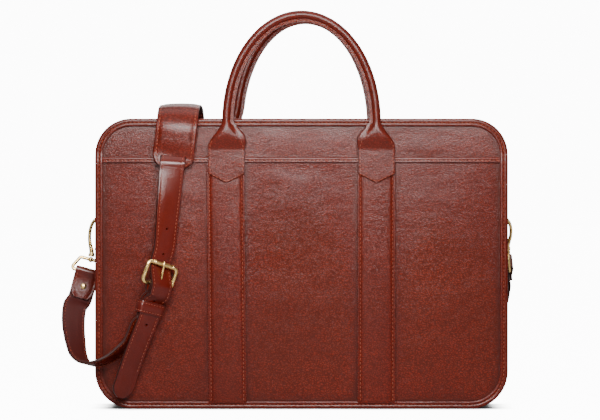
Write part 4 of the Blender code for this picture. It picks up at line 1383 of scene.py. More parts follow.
@dataclass
class ZipFastener:
    """The open zip: two tapes, two rows of teeth and a slider parked at the left end."""

    length: float = 0.330
    mouth: float = 0.026
    shown: float = 0.005
    teeth: float = 0.0022
    tape_width: float = 0.010
    tape: float = 0.0008
    gap: float = 0.0003
    pitch: float = 0.0021
    level: float = 0.2805

    def share(self, x: float) -> float:
        """0 at the zip's ends and beyond, 1 in its middle."""
        return max(1 - (2 * x / self.length) ** 2, 0.0)

    def tape_edge(self, x: float) -> float:
        """Distance of the teeth's inner line from the middle."""
        return self.gap / 2 + self.mouth / 2 * self.share(x)

    def strip_edge(self, x: float) -> float:
        """Distance of the leather strip's edge from the middle."""
        return self.tape_edge(x) + self.shown * smoothstep(6 * self.share(x)) + self.gap

    def build(self) -> list[bpy.types.Object]:
        """Make the tapes, teeth and slider.

        Returns:
            The finished pieces.
        """
        made = []
        for facing, sign in (("front", -1), ("back", 1)):
            made += [self.half_tape(facing, sign), self.tooth_row(facing, sign)]
        return [*made, self.slider()]

    def half_tape(self, facing: str, sign: int) -> bpy.types.Object:
        """One woven tape.

        Args:
            facing: front or back.
            sign: -1 for one side, 1 for the other.

        Returns:
            The finished piece.
        """
        end = self.length / 2

        def surface(across: float, along: float) -> Vector:
            """The sheet's place there.

            Args:
                across: share of the way across, 0 to 1.
                along: share of the way along, 0 to 1.

            Returns:
                The point.
            """
            x = end * math.sin(math.pi * (across - 0.5))
            inner = self.tape_edge(x) + self.teeth + self.gap
            y = -(inner - self.teeth * along + self.tape_width * (1 - along))
            return Vector((x, y, self.level + 0.0007 - 0.0004 * (1 - along)))

        sheet = mapped_grid(96, 6, surface)
        if sign > 0:
            sheet = flipped(sheet)
        tape = Piece(f"tape_{facing}", (Finish.TAPE,) * 3, "zip_cloth", replaces=(f"zip_tape_{facing}",))
        return tape.sheet(sheet, 0.7 * self.tape)

    def tooth_row(self, facing: str, sign: int) -> bpy.types.Object:
        """One row of separate brass teeth along the edge of a tape.

        Args:
            facing: front or back.
            sign: -1 for one side, 1 for the other.

        Returns:
            The finished piece.
        """
        shape = bmesh.new()
        count = int(self.length / self.pitch)
        for index in range(count):
            x = (index + 0.5 + 0.25 * sign - count / 2) * self.pitch
            y = sign * (self.tape_edge(x) + 0.75 * self.teeth)
            size = Matrix.Diagonal((0.45 * self.pitch, 1.5 * self.teeth, 1.1 * self.teeth, 1.0))
            place = Matrix.Translation((x, y, self.level + 0.0001))
            bmesh.ops.create_cube(shape, size=1.0, matrix=place @ size)
        name = f"teeth_{facing}"
        made = Piece(name, (Finish.DARK_BRASS,), "brass", replaces=(f"zip_teeth_{facing}",)).place(shape)
        edge = made.modifiers.new("Rounding", "BEVEL")
        edge.width = 0.0002
        edge.segments = 1
        return made

    def slider(self) -> bpy.types.Object:
        """The slider, its bridge and its pull.

        Returns:
            The finished piece.
        """
        x = -self.length / 2 + 0.022
        top = self.level + 0.0012
        body = bmesh.new()
        size = Matrix.Diagonal((0.011, 0.009, 0.0032, 1.0))
        bmesh.ops.create_cube(body, size=1.0, matrix=Matrix.Translation((x, 0.0, top + 0.0016)) @ size)
        arch = [Vector((x + along, 0.0, top + up)) for along, up in
                ((-0.0035, 0.0028), (-0.0030, 0.0050), (0.0, 0.0062), (0.0030, 0.0050), (0.0035, 0.0028))]
        bridge = tube(arch, [0.0009] * 5, 8)
        pull = bmesh.new()
        size = Matrix.Diagonal((0.026, 0.0055, 0.0013, 1.0))
        place = Matrix.Translation((x + 0.0150, 0.0, top + 0.0045)) @ Matrix.Rotation(0.10, 4, "Y")
        bmesh.ops.create_cube(pull, size=1.0, matrix=place @ size)
        for block, width in ((body, 0.0009), (pull, 0.0006)):
            bmesh.ops.bevel(
                block, geom=block.edges, offset=width, segments=3, profile=0.5, affect="EDGES", material=-1
            )
        whole = joined(body, bridge, pull)
        return Piece("slider", (Finish.BRASS,), "brass", replaces=("zip_slider",)).place(whole)


ZIP = ZipFastener()


@dataclass
class Handle:
    """A rolled leather handle with a sewn lip on its inner side and a flat pointed tab at each foot."""

    shape: CaseShape
    facing: str
    span: float = 0.150
    arch: float = 0.107
    foot: float = 0.287
    roll: float = 0.008
    lip: float = 0.003
    tab_width: float = 0.037
    tab_length: float = 0.061
    tab_leather: float = 0.0016
    lean: float = 0.008
    lift: float = 0.004
    stitch_inset: float = 0.0020
    arch_steps: int = 72

    @property
    def back(self) -> bool:
        """Whether this is the handle behind the case."""
        return self.facing == "back"

    def build(self) -> list[bpy.types.Object]:
        """Make the handle and its stitches."""
        return [self.leather(), self.stitches()]

    def spread(self, drop: float) -> float:
        """A tab's share of its full width, this share of the way down it.

        Args:
            drop: share of the way down the tab, 0 to 1.

        Returns:
            The value there.
        """
        if drop > 0.85:
            return max(1 - (drop - 0.85) / 0.15, 0.02)
        return between(self.roll / self.tab_width, 1.0, smoothstep((drop + 0.04) / 0.46))

    def flatness(self, drop: float) -> float:
        """0 on the roll, 1 on the flat tab."""
        return smoothstep((drop - 0.04) / 0.42)

    def under(self, drop: float) -> float:
        """How far out of the case the surface behind a tab stands.

        Args:
            drop: share of the way down the tab, 0 to 1.

        Returns:
            The value there.
        """
        case = self.shape
        on_binding = case.panel + case.gap + case.binding_leather
        on_band = (case.panel if self.back else case.pocket) + case.gap + case.band_leather
        return between(on_binding, on_band + 0.0009, smoothstep((drop - 0.02) / 0.36))

    def places(self) -> list[tuple[float, float, float]]:
        """The handle's middle line from its left foot to its right: x, z and share down a tab.

        Returns:
            The places, in order.
        """
        half = self.span / 2
        steps = [step / 44 for step in range(45)]
        tab = [(share, self.foot - self.tab_length * share) for share in steps]
        line = [(-half, z, share) for share, z in reversed(tab)]
        for step in range(1, self.arch_steps):
            angle = math.pi * (1 - step / self.arch_steps)
            line.append((half * math.cos(angle), self.foot + self.arch * math.sin(angle), 0.0))
        return line + [(half, z, share) for share, z in tab]

    def frame(self, x: float, z: float, drop: float) -> tuple[Vector, Vector, float, float]:
        """Middle, direction to the inner side, width and thickness at one place of the line.

        Args:
            x: place across the handle.
            z: height, before the back handle's lift.
            drop: share of the way down the tab, 0 to 1.

        Returns:
            The middle, the way to the inner side, the width and the thickness.
        """
        rise = max(z - self.foot, 0.0) / self.arch
        run = x / (self.span / 2)
        direction = Vector((rise * self.span / 2, 0.0, -run * self.arch)).normalized()
        inner = Vector((direction.z, 0.0, -direction.x))
        width = self.tab_width * self.spread(drop)
        thickness = between(self.roll, self.tab_leather, self.flatness(drop))
        depth = self.under(drop) + self.shape.gap + thickness / 2
        shift = 0.0
        if self.back:
            up = smoothstep((z - self.foot + 0.3 * self.tab_length) / (0.6 * self.tab_length))
            shift = self.lean * up * (0.5 - x / self.span)
            z += self.lift * smoothstep(rise)
        return Vector((x + shift, -depth, z)), inner, width, thickness

    def section(self, width: float, thickness: float, flat: float) -> list[tuple[float, float]]:
        """Points round the handle: offsets to the inner side and in depth.

        Args:
            width: the width.
            thickness: the thickness.
            flat: how far it is a flat tab, 0 to 1.

        Returns:
            The profile's points.
        """
        radius = self.roll / 2
        lip_half = 0.0013
        lip = [(0.92 * radius, 1.2 * lip_half), (radius + 0.5 * self.lip, lip_half)]
        lip += [(radius + 0.9 * self.lip, 0.9 * lip_half), (radius + self.lip, 0.45 * lip_half)]
        around = []
        for step in range(15):
            angle = math.radians(between(33, 327, step / 14))
            around.append((radius * math.cos(angle), radius * math.sin(angle)))
        rolled = [*reversed(lip), *around, *((across, -depth) for across, depth in lip)]
        count = len(rolled)
        points = []
        for index, (across, depth) in enumerate(rolled):
            angle = math.tau * (index + 0.5) / count
            along, through = math.cos(angle), math.sin(angle)
            flat_across = math.copysign(abs(along) ** 0.35, along) * width / 2
            flat_depth = math.copysign(abs(through) ** 0.25, through) * thickness / 2
            wider = across * width / self.roll
            points.append((between(wider, flat_across, flat), between(depth, flat_depth, flat)))
        return points

    def leather(self) -> bpy.types.Object:
        """The handle itself.

        Returns:
            The finished piece.
        """
        rings = []
        for x, z, drop in self.places():
            middle, inner, width, thickness = self.frame(x, z, drop)
            wrinkle = 1 + 0.012 * noise.noise(Vector((90 * x, 5.0, 90 * z)))
            ring = []
            for across, depth in self.section(width, thickness, self.flatness(drop)):
                point = middle + inner * across * wrinkle + Vector((0.0, -depth * wrinkle, 0.0))
                ring.append(Vector((point.x, -point.y, point.z)) if self.back else point)
            rings.append(ring)
        nodes = (f"handle_{self.facing}",)
        piece = Piece(f"rolled_handle_{self.facing}", LEATHER_FACES, "leather", replaces=nodes)
        return piece.place(skin(rings, painted=(0, 21)), angle=50.0)

    def stitches(self) -> bpy.types.Object:
        """Stitches along the lip and round each tab.

        Returns:
            The finished piece.
        """
        seam = Seam()
        sign = 1 if self.back else -1

        def turned(point: Vector) -> Vector:
            """The point, mirrored to the back for the back handle."""
            return Vector((point.x, -point.y, point.z)) if self.back else point

        line = []
        for x, z, drop in self.places():
            if drop > 0.12:
                continue
            middle, inner, _, _ = self.frame(x, z, drop)
            point = middle + inner * (self.roll / 2 + 0.45 * self.lip) + Vector((0.0, -0.0013, 0.0))
            line.append((turned(point), Vector((0.0, sign, 0.0))))
        seam.follow(line)
        for side in (-1, 1):
            rows = []
            for step in range(31):
                drop = between(0.30, 0.96, step / 30)
                z = self.foot - self.tab_length * drop
                middle, _, width, thickness = self.frame(side * self.span / 2, z, drop)
                reach = max(width / 2 - self.stitch_inset, 0.0)
                rows.append((middle + Vector((0.0, -thickness / 2, 0.0)), reach))
            way_round = [(middle, -reach) for middle, reach in rows] + rows[::-1]
            out = Vector((0.0, sign, 0.0))
            seam.follow([(turned(middle + Vector((across, 0.0, 0.0))), out) for middle, across in way_round])
        return seam.sew(f"stitches_handle_{self.facing}")


# The shoulder strap


class Frame:
    """A place on the strap: its middle, and unit directions across it, along it and out of it."""

    def __init__(self, middle: Sequence[float], across: Sequence[float], along: Sequence[float]) -> None:
        """Square up the directions, keeping along as given.

        Args:
            middle: its middle.
            across: a way across it.
            along: the way along it.
        """
        self.middle = Vector(middle)
        self.along = Vector(along).normalized()
        given = Vector(across)
        self.across = (given - self.along * given.dot(self.along)).normalized()
        self.out = self.across.cross(self.along)

    def at(self, across: float = 0.0, along: float = 0.0, out: float = 0.0) -> Vector:
        """A point off the middle."""
        return self.middle + self.across * across + self.along * along + self.out * out

    def row(self, along: float, out: float) -> tuple[float, ...]:
        """A route row this far along the strap and out of it."""
        return (*self.at(0.0, along, out), *self.across)

    def matrix(self) -> Matrix:
        """The frame as a matrix with across, along and out as X, Y and Z."""
        turn = Matrix((self.across, self.along, self.out)).transposed().to_4x4()
        return Matrix.Translation(self.middle) @ turn


def rounded_box(
    half_x: float, half_y: float, bend: float, steps: int
) -> list[tuple[float, float, tuple[float, float]]]:
    """Points round a rectangle with rounded corners.

    Args:
        half_x: half its width.
        half_y: half its height.
        bend: the corners' radius.
        steps: steps round each corner.

    Returns:
        Each point with the direction out of the rectangle there.
    """
    path = []
    for x_sign, y_sign, first in ((1, 1, 0), (-1, 1, 90), (-1, -1, 180), (1, -1, 270)):
        for step in range(steps + 1):
            angle = math.radians(first + 90 * step / steps)
            out = (math.cos(angle), math.sin(angle))
            x, y = x_sign * (half_x - bend), y_sign * (half_y - bend)
            path.append((x + bend * out[0], y + bend * out[1], out))
    return path


def route_frames(rows: Sequence[Vector]) -> list[Frame]:
    """The frame at each row of a route.

    Args:
        rows: the route's places, each with the way across the strap.

    Returns:
        The frames, in order.
    """
    frames = []
    for index, row in enumerate(rows):
        before, after = rows[max(index - 1, 0)], rows[min(index + 1, len(rows) - 1)]
        frames.append(Frame(row[:3], row[3:6], Vector(after[:3]) - Vector(before[:3])))
    return frames


@dataclass(frozen=True)
class Fittings:
    """Sizes of the metal fittings and where they are, the same as in the solids."""

    half_strap: float = 0.0013
    gap: float = 0.0003
    strap_width: float = 0.0245
    buckle_wire: float = 0.0036
    bar_reach: float = 0.01095
    prong: float = 0.0022
    d_wire: float = 0.0032
    d_width: float = 0.026
    d_height: float = 0.0235
    tab_leather: float = 0.0013
    tab_length: float = 0.030
    bar_height: float = 0.209
    hook_wire: float = 0.0034
    hook_length: float = 0.041
    hook_apex: float = 0.060
    ring_wire: float = 0.0034
    ball: float = 0.0056
    ring_reach: float = 0.0135
    turn_back: float = 0.010
    flap: float = 0.027
    keeper_width: float = 0.012
    buckle: Frame = Frame((-0.1403, -0.0610, 0.1345), (0.78, 0.62, -0.10), (0.19, 0.02, 0.98))
    keeper: Frame = Frame((-0.1505, -0.0625, 0.1015), (0.78, 0.62, -0.20), (0.26, 0.03, 0.965))

    @property
    def layer(self) -> float:
        """From the middle of one strap layer to the next."""
        return 2 * self.half_strap + self.gap

    @property
    def bar_to_strap(self) -> float:
        """From a buckle bar's middle to the middle of a strap over it."""
        return self.buckle_wire / 2 + self.gap + self.half_strap

    @property
    def prong_height(self) -> float:
        """How far the prong stands in front of the buckle's bars."""
        return self.buckle_wire / 2 + self.gap + self.prong / 2

    @property
    def heel(self) -> Frame:
        """The buckle's lower bar, where the short strap turns."""
        return Frame(self.buckle.at(along=-self.bar_reach), self.buckle.across, self.buckle.along)

    @property
    def top_bar(self) -> Frame:
        """The buckle's upper bar."""
        return Frame(self.buckle.at(along=self.bar_reach), self.buckle.across, self.buckle.along)

    def side(self, where: str) -> int:
        """-1 on the left and 1 on the right."""
        return -1 if where == "left" else 1

    def face(self, where: str) -> float:
        """X of the side strip's outer face."""
        return self.side(where) * (CASE.width / 2 - CASE.side_inset)

    def bar_offset(self) -> float:
        """From the side strip's face to the middle of the D-ring's straight bar."""
        return 2 * self.gap + self.tab_leather + self.d_wire / 2

    def lean(self, where: str) -> float:
        """How far a D-ring leans out from the case, in radians."""
        return math.radians(19.5 if where == "left" else 16.5)

    def hook_frame(self, where: str) -> Frame:
        """The hook's swivel: across points towards the case, along points up the hook.

        Args:
            where: left or right.

        Returns:
            The frame.
        """
        side = self.side(where)
        along = (0.139, 0.0, 0.990) if where == "left" else (-0.095, -0.550, 0.830)
        hook = Frame((0, 0, 0), (-side, 0.0, 0.0), along)
        lean = self.lean(where)
        x = self.face(where) + side * (self.bar_offset() + self.d_height * math.sin(lean))
        bottom = Vector((x, 0.0, self.bar_height - self.d_height * math.cos(lean)))
        apart = (self.hook_wire + self.d_wire) / 2 + 2.4 * self.gap
        reach = self.hook_length - apart / (1 - hook.along.y**2)
        return Frame(bottom - hook.at(self.hook_apex * self.hook_length, reach), hook.across, hook.along)

    def ball_middle(self, where: str) -> Vector:
        """Middle of the ball under the hook."""
        return self.hook_frame(where).at(along=0.03 * self.hook_length - self.gap - self.ball / 2)

    def ring_frame(self, where: str) -> Frame:
        """The bar that the strap turns over.

        Args:
            where: left or right.

        Returns:
            The frame.
        """
        across = (0.97, 0.10, -0.20) if where == "left" else (0.0, 0.834, 0.550)
        along = (0.26, 0.10, 0.96) if where == "left" else (-0.095, -0.550, 0.830)
        ball = Frame(self.ball_middle(where), across, along)
        return Frame(ball.at(along=-self.ring_reach), ball.across, ball.along)

    @property
    def ring_to_strap(self) -> float:
        """From the ring's bar to the middle of the strap over it."""
        return self.ring_wire / 2 + self.gap + self.half_strap


CASE = CaseShape()
FIT = Fittings()


def wrap_rows(place: Frame, radius: float, end: float, spread: float) -> list[tuple[float, ...]]:
    """Rows that come up behind a bar, turn over it and run back down in front for a length.

    Args:
        place: the frame that it is built on.
        radius: the turn's radius.
        end: how long each run is.
        spread: how far its two runs stand from the middle.

    Returns:
        The rows, in order.
    """
    angles = [math.pi * step / 4 for step in range(5)]
    turn = [(radius * math.sin(angle), -radius * math.cos(angle)) for angle in angles]
    meets = min(2.2 * radius, 0.75 * end)
    rows = [(-end, -spread), (-meets, -spread), *turn, (-meets, spread), (-end, spread)]
    return [place.row(along, out) for along, out in rows]


@dataclass
class ShoulderStrap:
    """Both strap lengths, the padded sleeve, the keeper and the rivet."""

    width: float = 0.0245
    thickness: float = 0.0026
    pad_width: float = 0.041
    pad_thickness: float = 0.0055
    steps: int = 8
    punch: float = 0.0026
    punch_spacing: float = 0.0255
    stitch_inset: float = 0.0027
    tongue: tuple = (
        (-0.1808, -0.0560, 0.0125, 0.78, 0.62, -0.10),
        (-0.1765, -0.0570, 0.0250, 0.78, 0.62, -0.12),
        (-0.1655, -0.0600, 0.0570, 0.78, 0.62, -0.15),
    )
    hanging: tuple = (
        (-0.1362, -0.0560, 0.1620, 0.81, 0.58, -0.06),
        (-0.1345, -0.0550, 0.1800, 0.85, 0.52, -0.05),
        (-0.1318, -0.0548, 0.2090, 0.93, 0.36, -0.05),
        (-0.1298, -0.0548, 0.2300, 0.98, 0.18, -0.06),
    )
    # Strap rows beside the pad: place, across, the pad's side of it, and the pad's shares of
    # full thickness and full width there.
    padded: tuple = (
        (-0.1292, -0.0548, 0.2390, 0.99, 0.10, -0.06, -1.0, 0.40, 0.55),
        (-0.1288, -0.0548, 0.2415, 0.99, 0.09, -0.07, -1.0, 0.42, 0.86),
        (-0.1283, -0.0546, 0.2465, 1.00, 0.06, -0.08, -1.0, 0.48, 1.00),
        (-0.1277, -0.0508, 0.2520, 1.00, 0.03, -0.08, 0.0, 0.52, 1.00),
        (-0.1271, -0.0474, 0.2575, 1.00, 0.00, -0.08, 1.0, 0.60, 1.00),
        (-0.1258, -0.0468, 0.2690, 1.00, 0.00, -0.08, 1.0, 0.95, 1.00),
        (-0.1242, -0.0460, 0.2830, 1.00, 0.00, -0.06, 1.0, 1.00, 1.00),
        (-0.1230, -0.0390, 0.2940, 1.00, 0.00, -0.04, 1.0, 1.00, 1.00),
        (-0.1222, -0.0200, 0.2985, 1.00, 0.00, 0.00, 1.0, 1.00, 1.00),
        (-0.1218, 0.0000, 0.2995, 1.00, 0.00, 0.00, 1.0, 1.00, 1.00),
        (-0.1214, 0.0200, 0.2985, 1.00, 0.00, 0.00, 1.0, 1.00, 1.00),
        (-0.1209, 0.0390, 0.2940, 1.00, 0.00, 0.02, 1.0, 1.00, 1.00),
        (-0.1202, 0.0460, 0.2830, 1.00, 0.00, 0.03, 1.0, 1.00, 1.00),
        (-0.1190, 0.0466, 0.2600, 1.00, 0.00, 0.04, 1.0, 1.00, 1.00),
        (-0.1175, 0.0468, 0.2200, 1.00, 0.00, 0.04, 1.0, 1.00, 1.00),
        (-0.1169, 0.0470, 0.2040, 1.00, 0.00, 0.04, 1.0, 0.85, 1.00),
        (-0.1166, 0.0474, 0.1945, 1.00, 0.00, 0.04, 1.0, 0.60, 1.00),
        (-0.1163, 0.0508, 0.1890, 1.00, 0.00, 0.05, 0.0, 0.52, 1.00),
        (-0.1160, 0.0546, 0.1835, 1.00, 0.01, 0.06, -1.0, 0.48, 1.00),
        (-0.1157, 0.0552, 0.1785, 1.00, 0.02, 0.06, -1.0, 0.42, 0.86),
        (-0.1155, 0.0554, 0.1760, 1.00, 0.03, 0.07, -1.0, 0.40, 0.55),
    )
    slots: tuple = ((2, 4), (16, 18))
    behind: tuple = (
        (-0.1130, 0.0570, 0.1540, 0.92, 0.38, 0.10),
        (-0.1010, 0.0590, 0.1180, 0.60, 0.78, 0.20),
        (-0.0700, 0.0605, 0.0810, 0.15, 0.98, 0.05),
        (-0.0200, 0.0605, 0.0580, 0.00, 1.00, 0.00),
        (0.0350, 0.0605, 0.0500, 0.00, 1.00, 0.00),
        (0.0900, 0.0605, 0.0530, 0.00, 1.00, 0.00),
        (0.1400, 0.0605, 0.0640, 0.00, 1.00, 0.05),
        (0.1800, 0.0600, 0.0800, -0.05, 0.95, 0.25),
        (0.2060, 0.0570, 0.0990, -0.10, 0.85, 0.50),
    )
    loop: tuple = (
        (-0.1612, -0.0595, 0.0850, 0.60, 0.77, -0.22),
        (-0.1712, -0.0580, 0.0690, 0.32, 0.92, -0.22),
        (-0.1797, -0.0585, 0.0600, 0.27, 0.93, -0.25),
        (-0.1905, -0.0592, 0.0515, 0.25, 0.93, -0.25),
        (-0.2045, -0.0592, 0.0462, 0.20, 0.95, -0.22),
        (-0.2160, -0.0530, 0.0470, 0.30, 0.93, -0.10),
        (-0.2230, -0.0440, 0.0545, 0.55, 0.82, 0.00),
        (-0.2268, -0.0350, 0.0680, 0.74, 0.66, 0.00),
        (-0.2295, -0.0240, 0.0850, 0.86, 0.50, 0.00),
        (-0.2290, -0.0130, 0.1010, 0.92, 0.38, -0.05),
    )

    def build(self) -> list[bpy.types.Object]:
        """Make both lengths, the pad, the keeper, the rivet and the stitches."""
        return [*self.long_length(), *self.short_length(), *self.pad(), *self.keeper(), self.rivet()]

    def half_stack(self) -> float:
        """From the middle of two layers to the middle of each."""
        return 0.62 * FIT.layer

    def long_route(self) -> list[Vector]:
        """The long strap's route from its tip to the right ring.

        Returns:
            The points, in order.
        """
        over_heel = FIT.bar_to_strap + FIT.layer
        stack = self.half_stack()
        through = [
            FIT.keeper.row(-0.9 * FIT.keeper_width, stack),
            FIT.keeper.row(0.0, stack),
            FIT.keeper.row(0.6 * FIT.keeper_width, 1.1 * stack),
            FIT.heel.row(-FIT.turn_back, 0.78 * over_heel),
            FIT.heel.row(-0.4 * FIT.turn_back, 0.96 * over_heel),
            FIT.heel.row(0.1 * FIT.turn_back, over_heel),
            FIT.buckle.row(-0.3 * FIT.bar_reach, 0.45 * over_heel),
            FIT.buckle.row(0.45 * FIT.bar_reach, -0.45 * FIT.bar_to_strap),
            FIT.top_bar.row(0.0, -1.02 * FIT.bar_to_strap),
            FIT.top_bar.row(FIT.buckle_wire, -1.02 * FIT.bar_to_strap),
        ]
        ring = FIT.ring_frame("right")
        end = wrap_rows(ring, FIT.ring_to_strap, 0.5 * FIT.flap, 0.55 * FIT.layer)
        lead = ring.row(-0.9 * FIT.flap, -0.3 * FIT.layer)
        beside_pad = [row[:6] for row in self.padded]
        rows = [*self.tongue, *through, *self.hanging, *beside_pad, *self.behind, lead, *end]
        return smooth_route(rows, self.steps)

    def short_route(self) -> list[Vector]:
        """The short strap's route from its turned-back end to its flap.

        Returns:
            The points, in order.
        """
        turned = list(reversed(wrap_rows(FIT.heel, FIT.bar_to_strap, FIT.turn_back, 0.53 * FIT.layer)))
        behind = [FIT.keeper.row(share * FIT.keeper_width, -self.half_stack()) for share in (0.6, 0.0, -0.9)]
        flap = wrap_rows(FIT.ring_frame("left"), FIT.ring_to_strap, FIT.flap, 0.55 * FIT.layer)
        return smooth_route([*turned, *behind, *self.loop, *flap], self.steps)

    def rings(self, frames: Sequence[Frame], shares: Sequence[float]) -> list[list[Vector]]:
        """Sections of a strap with rounded edges and a shallow groove under each row of stitches.

        Args:
            frames: the route's frames.
            shares: how much of the full width each frame has.

        Returns:
            The rings of points, in order.
        """
        half, lift = self.width / 2, self.thickness / 2
        inner = half - self.stitch_inset
        top = [
            (half, 0.45 * lift), (half - 0.0004, 0.93 * lift), (half - 0.0010, lift), (inner + 0.0006, lift),
            (inner, lift - 0.00016), (inner - 0.0006, lift), (0.35 * inner, 1.05 * lift),
        ]
        upper = top + [(-across, out) for across, out in reversed(top)]
        profile = upper + [(-across, -out) for across, out in upper]
        return [
            [place.at(across * share, 0.0, out) for across, out in profile]
            for place, share in zip(frames, shares)
        ]

    def seams(self, frames: Sequence[Frame], skip: int = 0) -> Seam:
        """Two rows of stitches on each face of a strap.

        Args:
            frames: the route's frames.
            skip: how many frames at the start have no stitches.

        Returns:
            The rows of stitches.
        """
        seam = Seam(pitch=0.0037, length=0.0028, thickness=0.0006)
        inner, lift = self.width / 2 - self.stitch_inset, self.thickness / 2 - 0.0001
        for face in (-1, 1):
            for edge in (-1, 1):
                line = []
                for place in frames[skip : len(frames) - 4]:
                    line.append((place.at(edge * inner, 0.0, face * lift), place.out * face))
                seam.follow(line)
        return seam

    def long_length(self) -> list[bpy.types.Object]:
        """The strap from its pointed end through keeper, buckle and pad to the right ring.

        Returns:
            The finished pieces.
        """
        route = self.long_route()
        frames = route_frames(route)
        shares, travelled = [], 0.0
        half = self.width / 2
        for index, row in enumerate(route):
            if index:
                travelled += (Vector(row[:3]) - Vector(route[index - 1][:3])).length
            from_tip = min(travelled / half, 1.0)
            shares.append(max(math.sqrt(max(1 - (1 - from_tip) ** 2, 0.0)), 0.25))
        rings = self.rings(frames, shares)
        strap = Piece("strap_long_leather", STRAP_FACES[:2], "leather", replaces=("strap_long",))
        made = strap.place(skin(rings, painted=(0, 12, 13, 14, 26, 27)))
        to_prong = self.nearest(route, FIT.heel.at(along=0.7 * FIT.bar_reach, out=FIT.prong_height))
        tools = []
        for step in (-2, -1, 1, 2):
            place = self.frame_at(frames, to_prong + step * self.punch_spacing)
            hole = bmesh.new()
            size = self.punch / 2
            bmesh.ops.create_cone(
                hole, cap_ends=True, segments=20, radius1=size, radius2=size, depth=4 * self.thickness,
                matrix=place.matrix(),
            )
            tools.append(hole)
        prong_line = [FIT.heel.at(along=share * FIT.bar_reach, out=FIT.prong_height) for share in (-0.1, 1.5)]
        tools.append(tube(prong_line, [FIT.prong / 2 + 2 * FIT.gap] * 2, 12, side_way=FIT.heel.across))
        cut(made, joined(*tools))
        return [made, self.seams(frames, skip=12).sew("stitches_strap_long")]

    def nearest(self, route: Sequence[Vector], point: Vector) -> float:
        """Distance along a route to the place nearest a point."""
        best = min(range(len(route)), key=lambda index: (Vector(route[index][:3]) - point).length)
        return sum((Vector(route[i + 1][:3]) - Vector(route[i][:3])).length for i in range(best))

    def frame_at(self, frames: Sequence[Frame], distance: float) -> Frame:
        """The frame this far along.

        Args:
            frames: the route's frames.
            distance: how far along the route, in metres.

        Returns:
            The frame.
        """
        for start, end in zip(frames, frames[1:]):
            step = (end.middle - start.middle).length
            if step >= distance:
                share = distance / step
                return Frame(start.middle.lerp(end.middle, share), start.across, start.along)
            distance -= step
        return frames[-1]

    def short_length(self) -> list[bpy.types.Object]:
        """The strap from the buckle round the hanging loop to its flap at the left ring.

        Returns:
            The finished pieces.
        """
        frames = route_frames(self.short_route())
        shares = [1.0] * len(frames)
        shares[-4:] = (0.98, 0.93, 0.82, 0.60)
        strap = Piece("strap_short_leather", STRAP_FACES, "leather", replaces=("strap_short",))
        rings = self.rings(frames, shares)
        made = strap.place(skin(rings, painted=(0, 12, 13, 14, 26, 27), inner=range(1, 12)))
        slot = bmesh.new()
        reach = FIT.bar_to_strap
        size = Matrix.Diagonal((FIT.prong + 4 * FIT.gap, 3.2 * reach, 5 * reach, 1.0))
        place = FIT.heel.matrix() @ Matrix.Translation((0, 0.1 * reach, 0))
        bmesh.ops.create_cube(slot, size=1.0, matrix=place @ size)
        cut(made, slot)
        return [made, self.seams(frames, skip=44).sew("stitches_strap_short")]

    def pad_frames(self) -> tuple[list[Frame], list[float], list[float]]:
        """The pad's middle line with its shares of full thickness and width.

        Returns:
            The frames, then their shares of the full thickness and width.
        """
        rows = []
        for index, row in enumerate(self.padded):
            before = Vector(self.padded[max(index - 1, 0)][:3])
            after = Vector(self.padded[min(index + 1, len(self.padded) - 1)][:3])
            side, thick, wide = row[6:]
            along = after - before
            if side <= 0 or thick < 0.7:
                along = Vector((0.0, 0.0, along.z))
            place = Frame(row[:3], row[3:6], along)
            away = self.thickness / 2 + 2 * FIT.gap + self.pad_thickness * thick / 2
            rows.append((*place.at(out=side * away), *row[3:6], thick, wide))
        route = smooth_route(rows, self.steps)
        frames = route_frames(route)
        length = [0.0]
        for before, after in zip(frames, frames[1:]):
            length.append(length[-1] + (after.middle - before.middle).length)
        round_off = 0.014
        wides = []
        for travelled in length:
            from_end = min(travelled, length[-1] - travelled, round_off) / round_off
            wides.append(max(math.sqrt(max(1 - (1 - from_end) ** 2, 0.0)), 0.42))
        return frames, [row[6] for row in route], wides

    def pad(self) -> list[bpy.types.Object]:
        """The padded sleeve: full in the middle, thin and stitched along its edges.

        Returns:
            The finished pieces.
        """
        frames, thicks, wides = self.pad_frames()
        rings = []
        for place, thick, wide in zip(frames, thicks, wides):
            half, lift = self.pad_width / 2 * wide, self.pad_thickness / 2 * thick
            edge = min(0.0011, 0.5 * lift)
            shape = [(1.0, 0.5 * edge), (0.985, edge), (0.93, 1.25 * edge), (0.86, 1.15 * edge)]
            shape += [(0.78, between(1.3 * edge, lift, 0.45)), (0.62, between(edge, lift, 0.80))]
            shape += [(0.35, lift)]
            upper = shape + [(0.0, 1.06 * lift)] + [(-across, out) for across, out in reversed(shape)]
            profile = upper + [(-across, -out) for across, out in upper]
            rings.append([place.at(half * across, 0.0, out) for across, out in profile])
        sleeve = Piece("pad_sleeve", LEATHER_FACES[:2], "leather", replaces=("shoulder_pad",))
        made = sleeve.place(skin(rings, painted=(0, 14, 15, 29)), angle=50.0)
        tools = []
        for first, last in self.slots:
            rows = [row[:6] for row in self.padded[first - 1 : last + 2]]
            cross = route_frames(smooth_route(rows, 4))
            half, lift = self.width / 2 + 2 * FIT.gap, self.thickness / 2 + FIT.gap
            box = ((half, lift), (-half, lift), (-half, -lift), (half, -lift))
            tools.append(skin([[place.at(across, 0.0, out) for across, out in box] for place in cross]))
        cut(made, joined(*tools))
        seam = Seam(pitch=0.0038, length=0.0028)
        for face in (-1, 1):
            outline = []
            for place, thick, wide in zip(frames, thicks, wides):
                half = self.pad_width / 2 * wide - 0.0030
                lift = min(0.0011, 0.25 * self.pad_thickness * thick) * 1.15 - 0.0001
                outline.append((place, half, face * lift))
            for edge in (-1, 1):
                line = [(place.at(edge * half, 0.0, lift), place.out * face) for place, half, lift in outline]
                seam.follow(line[3:-3])
        return [made, seam.sew("stitches_pad")]

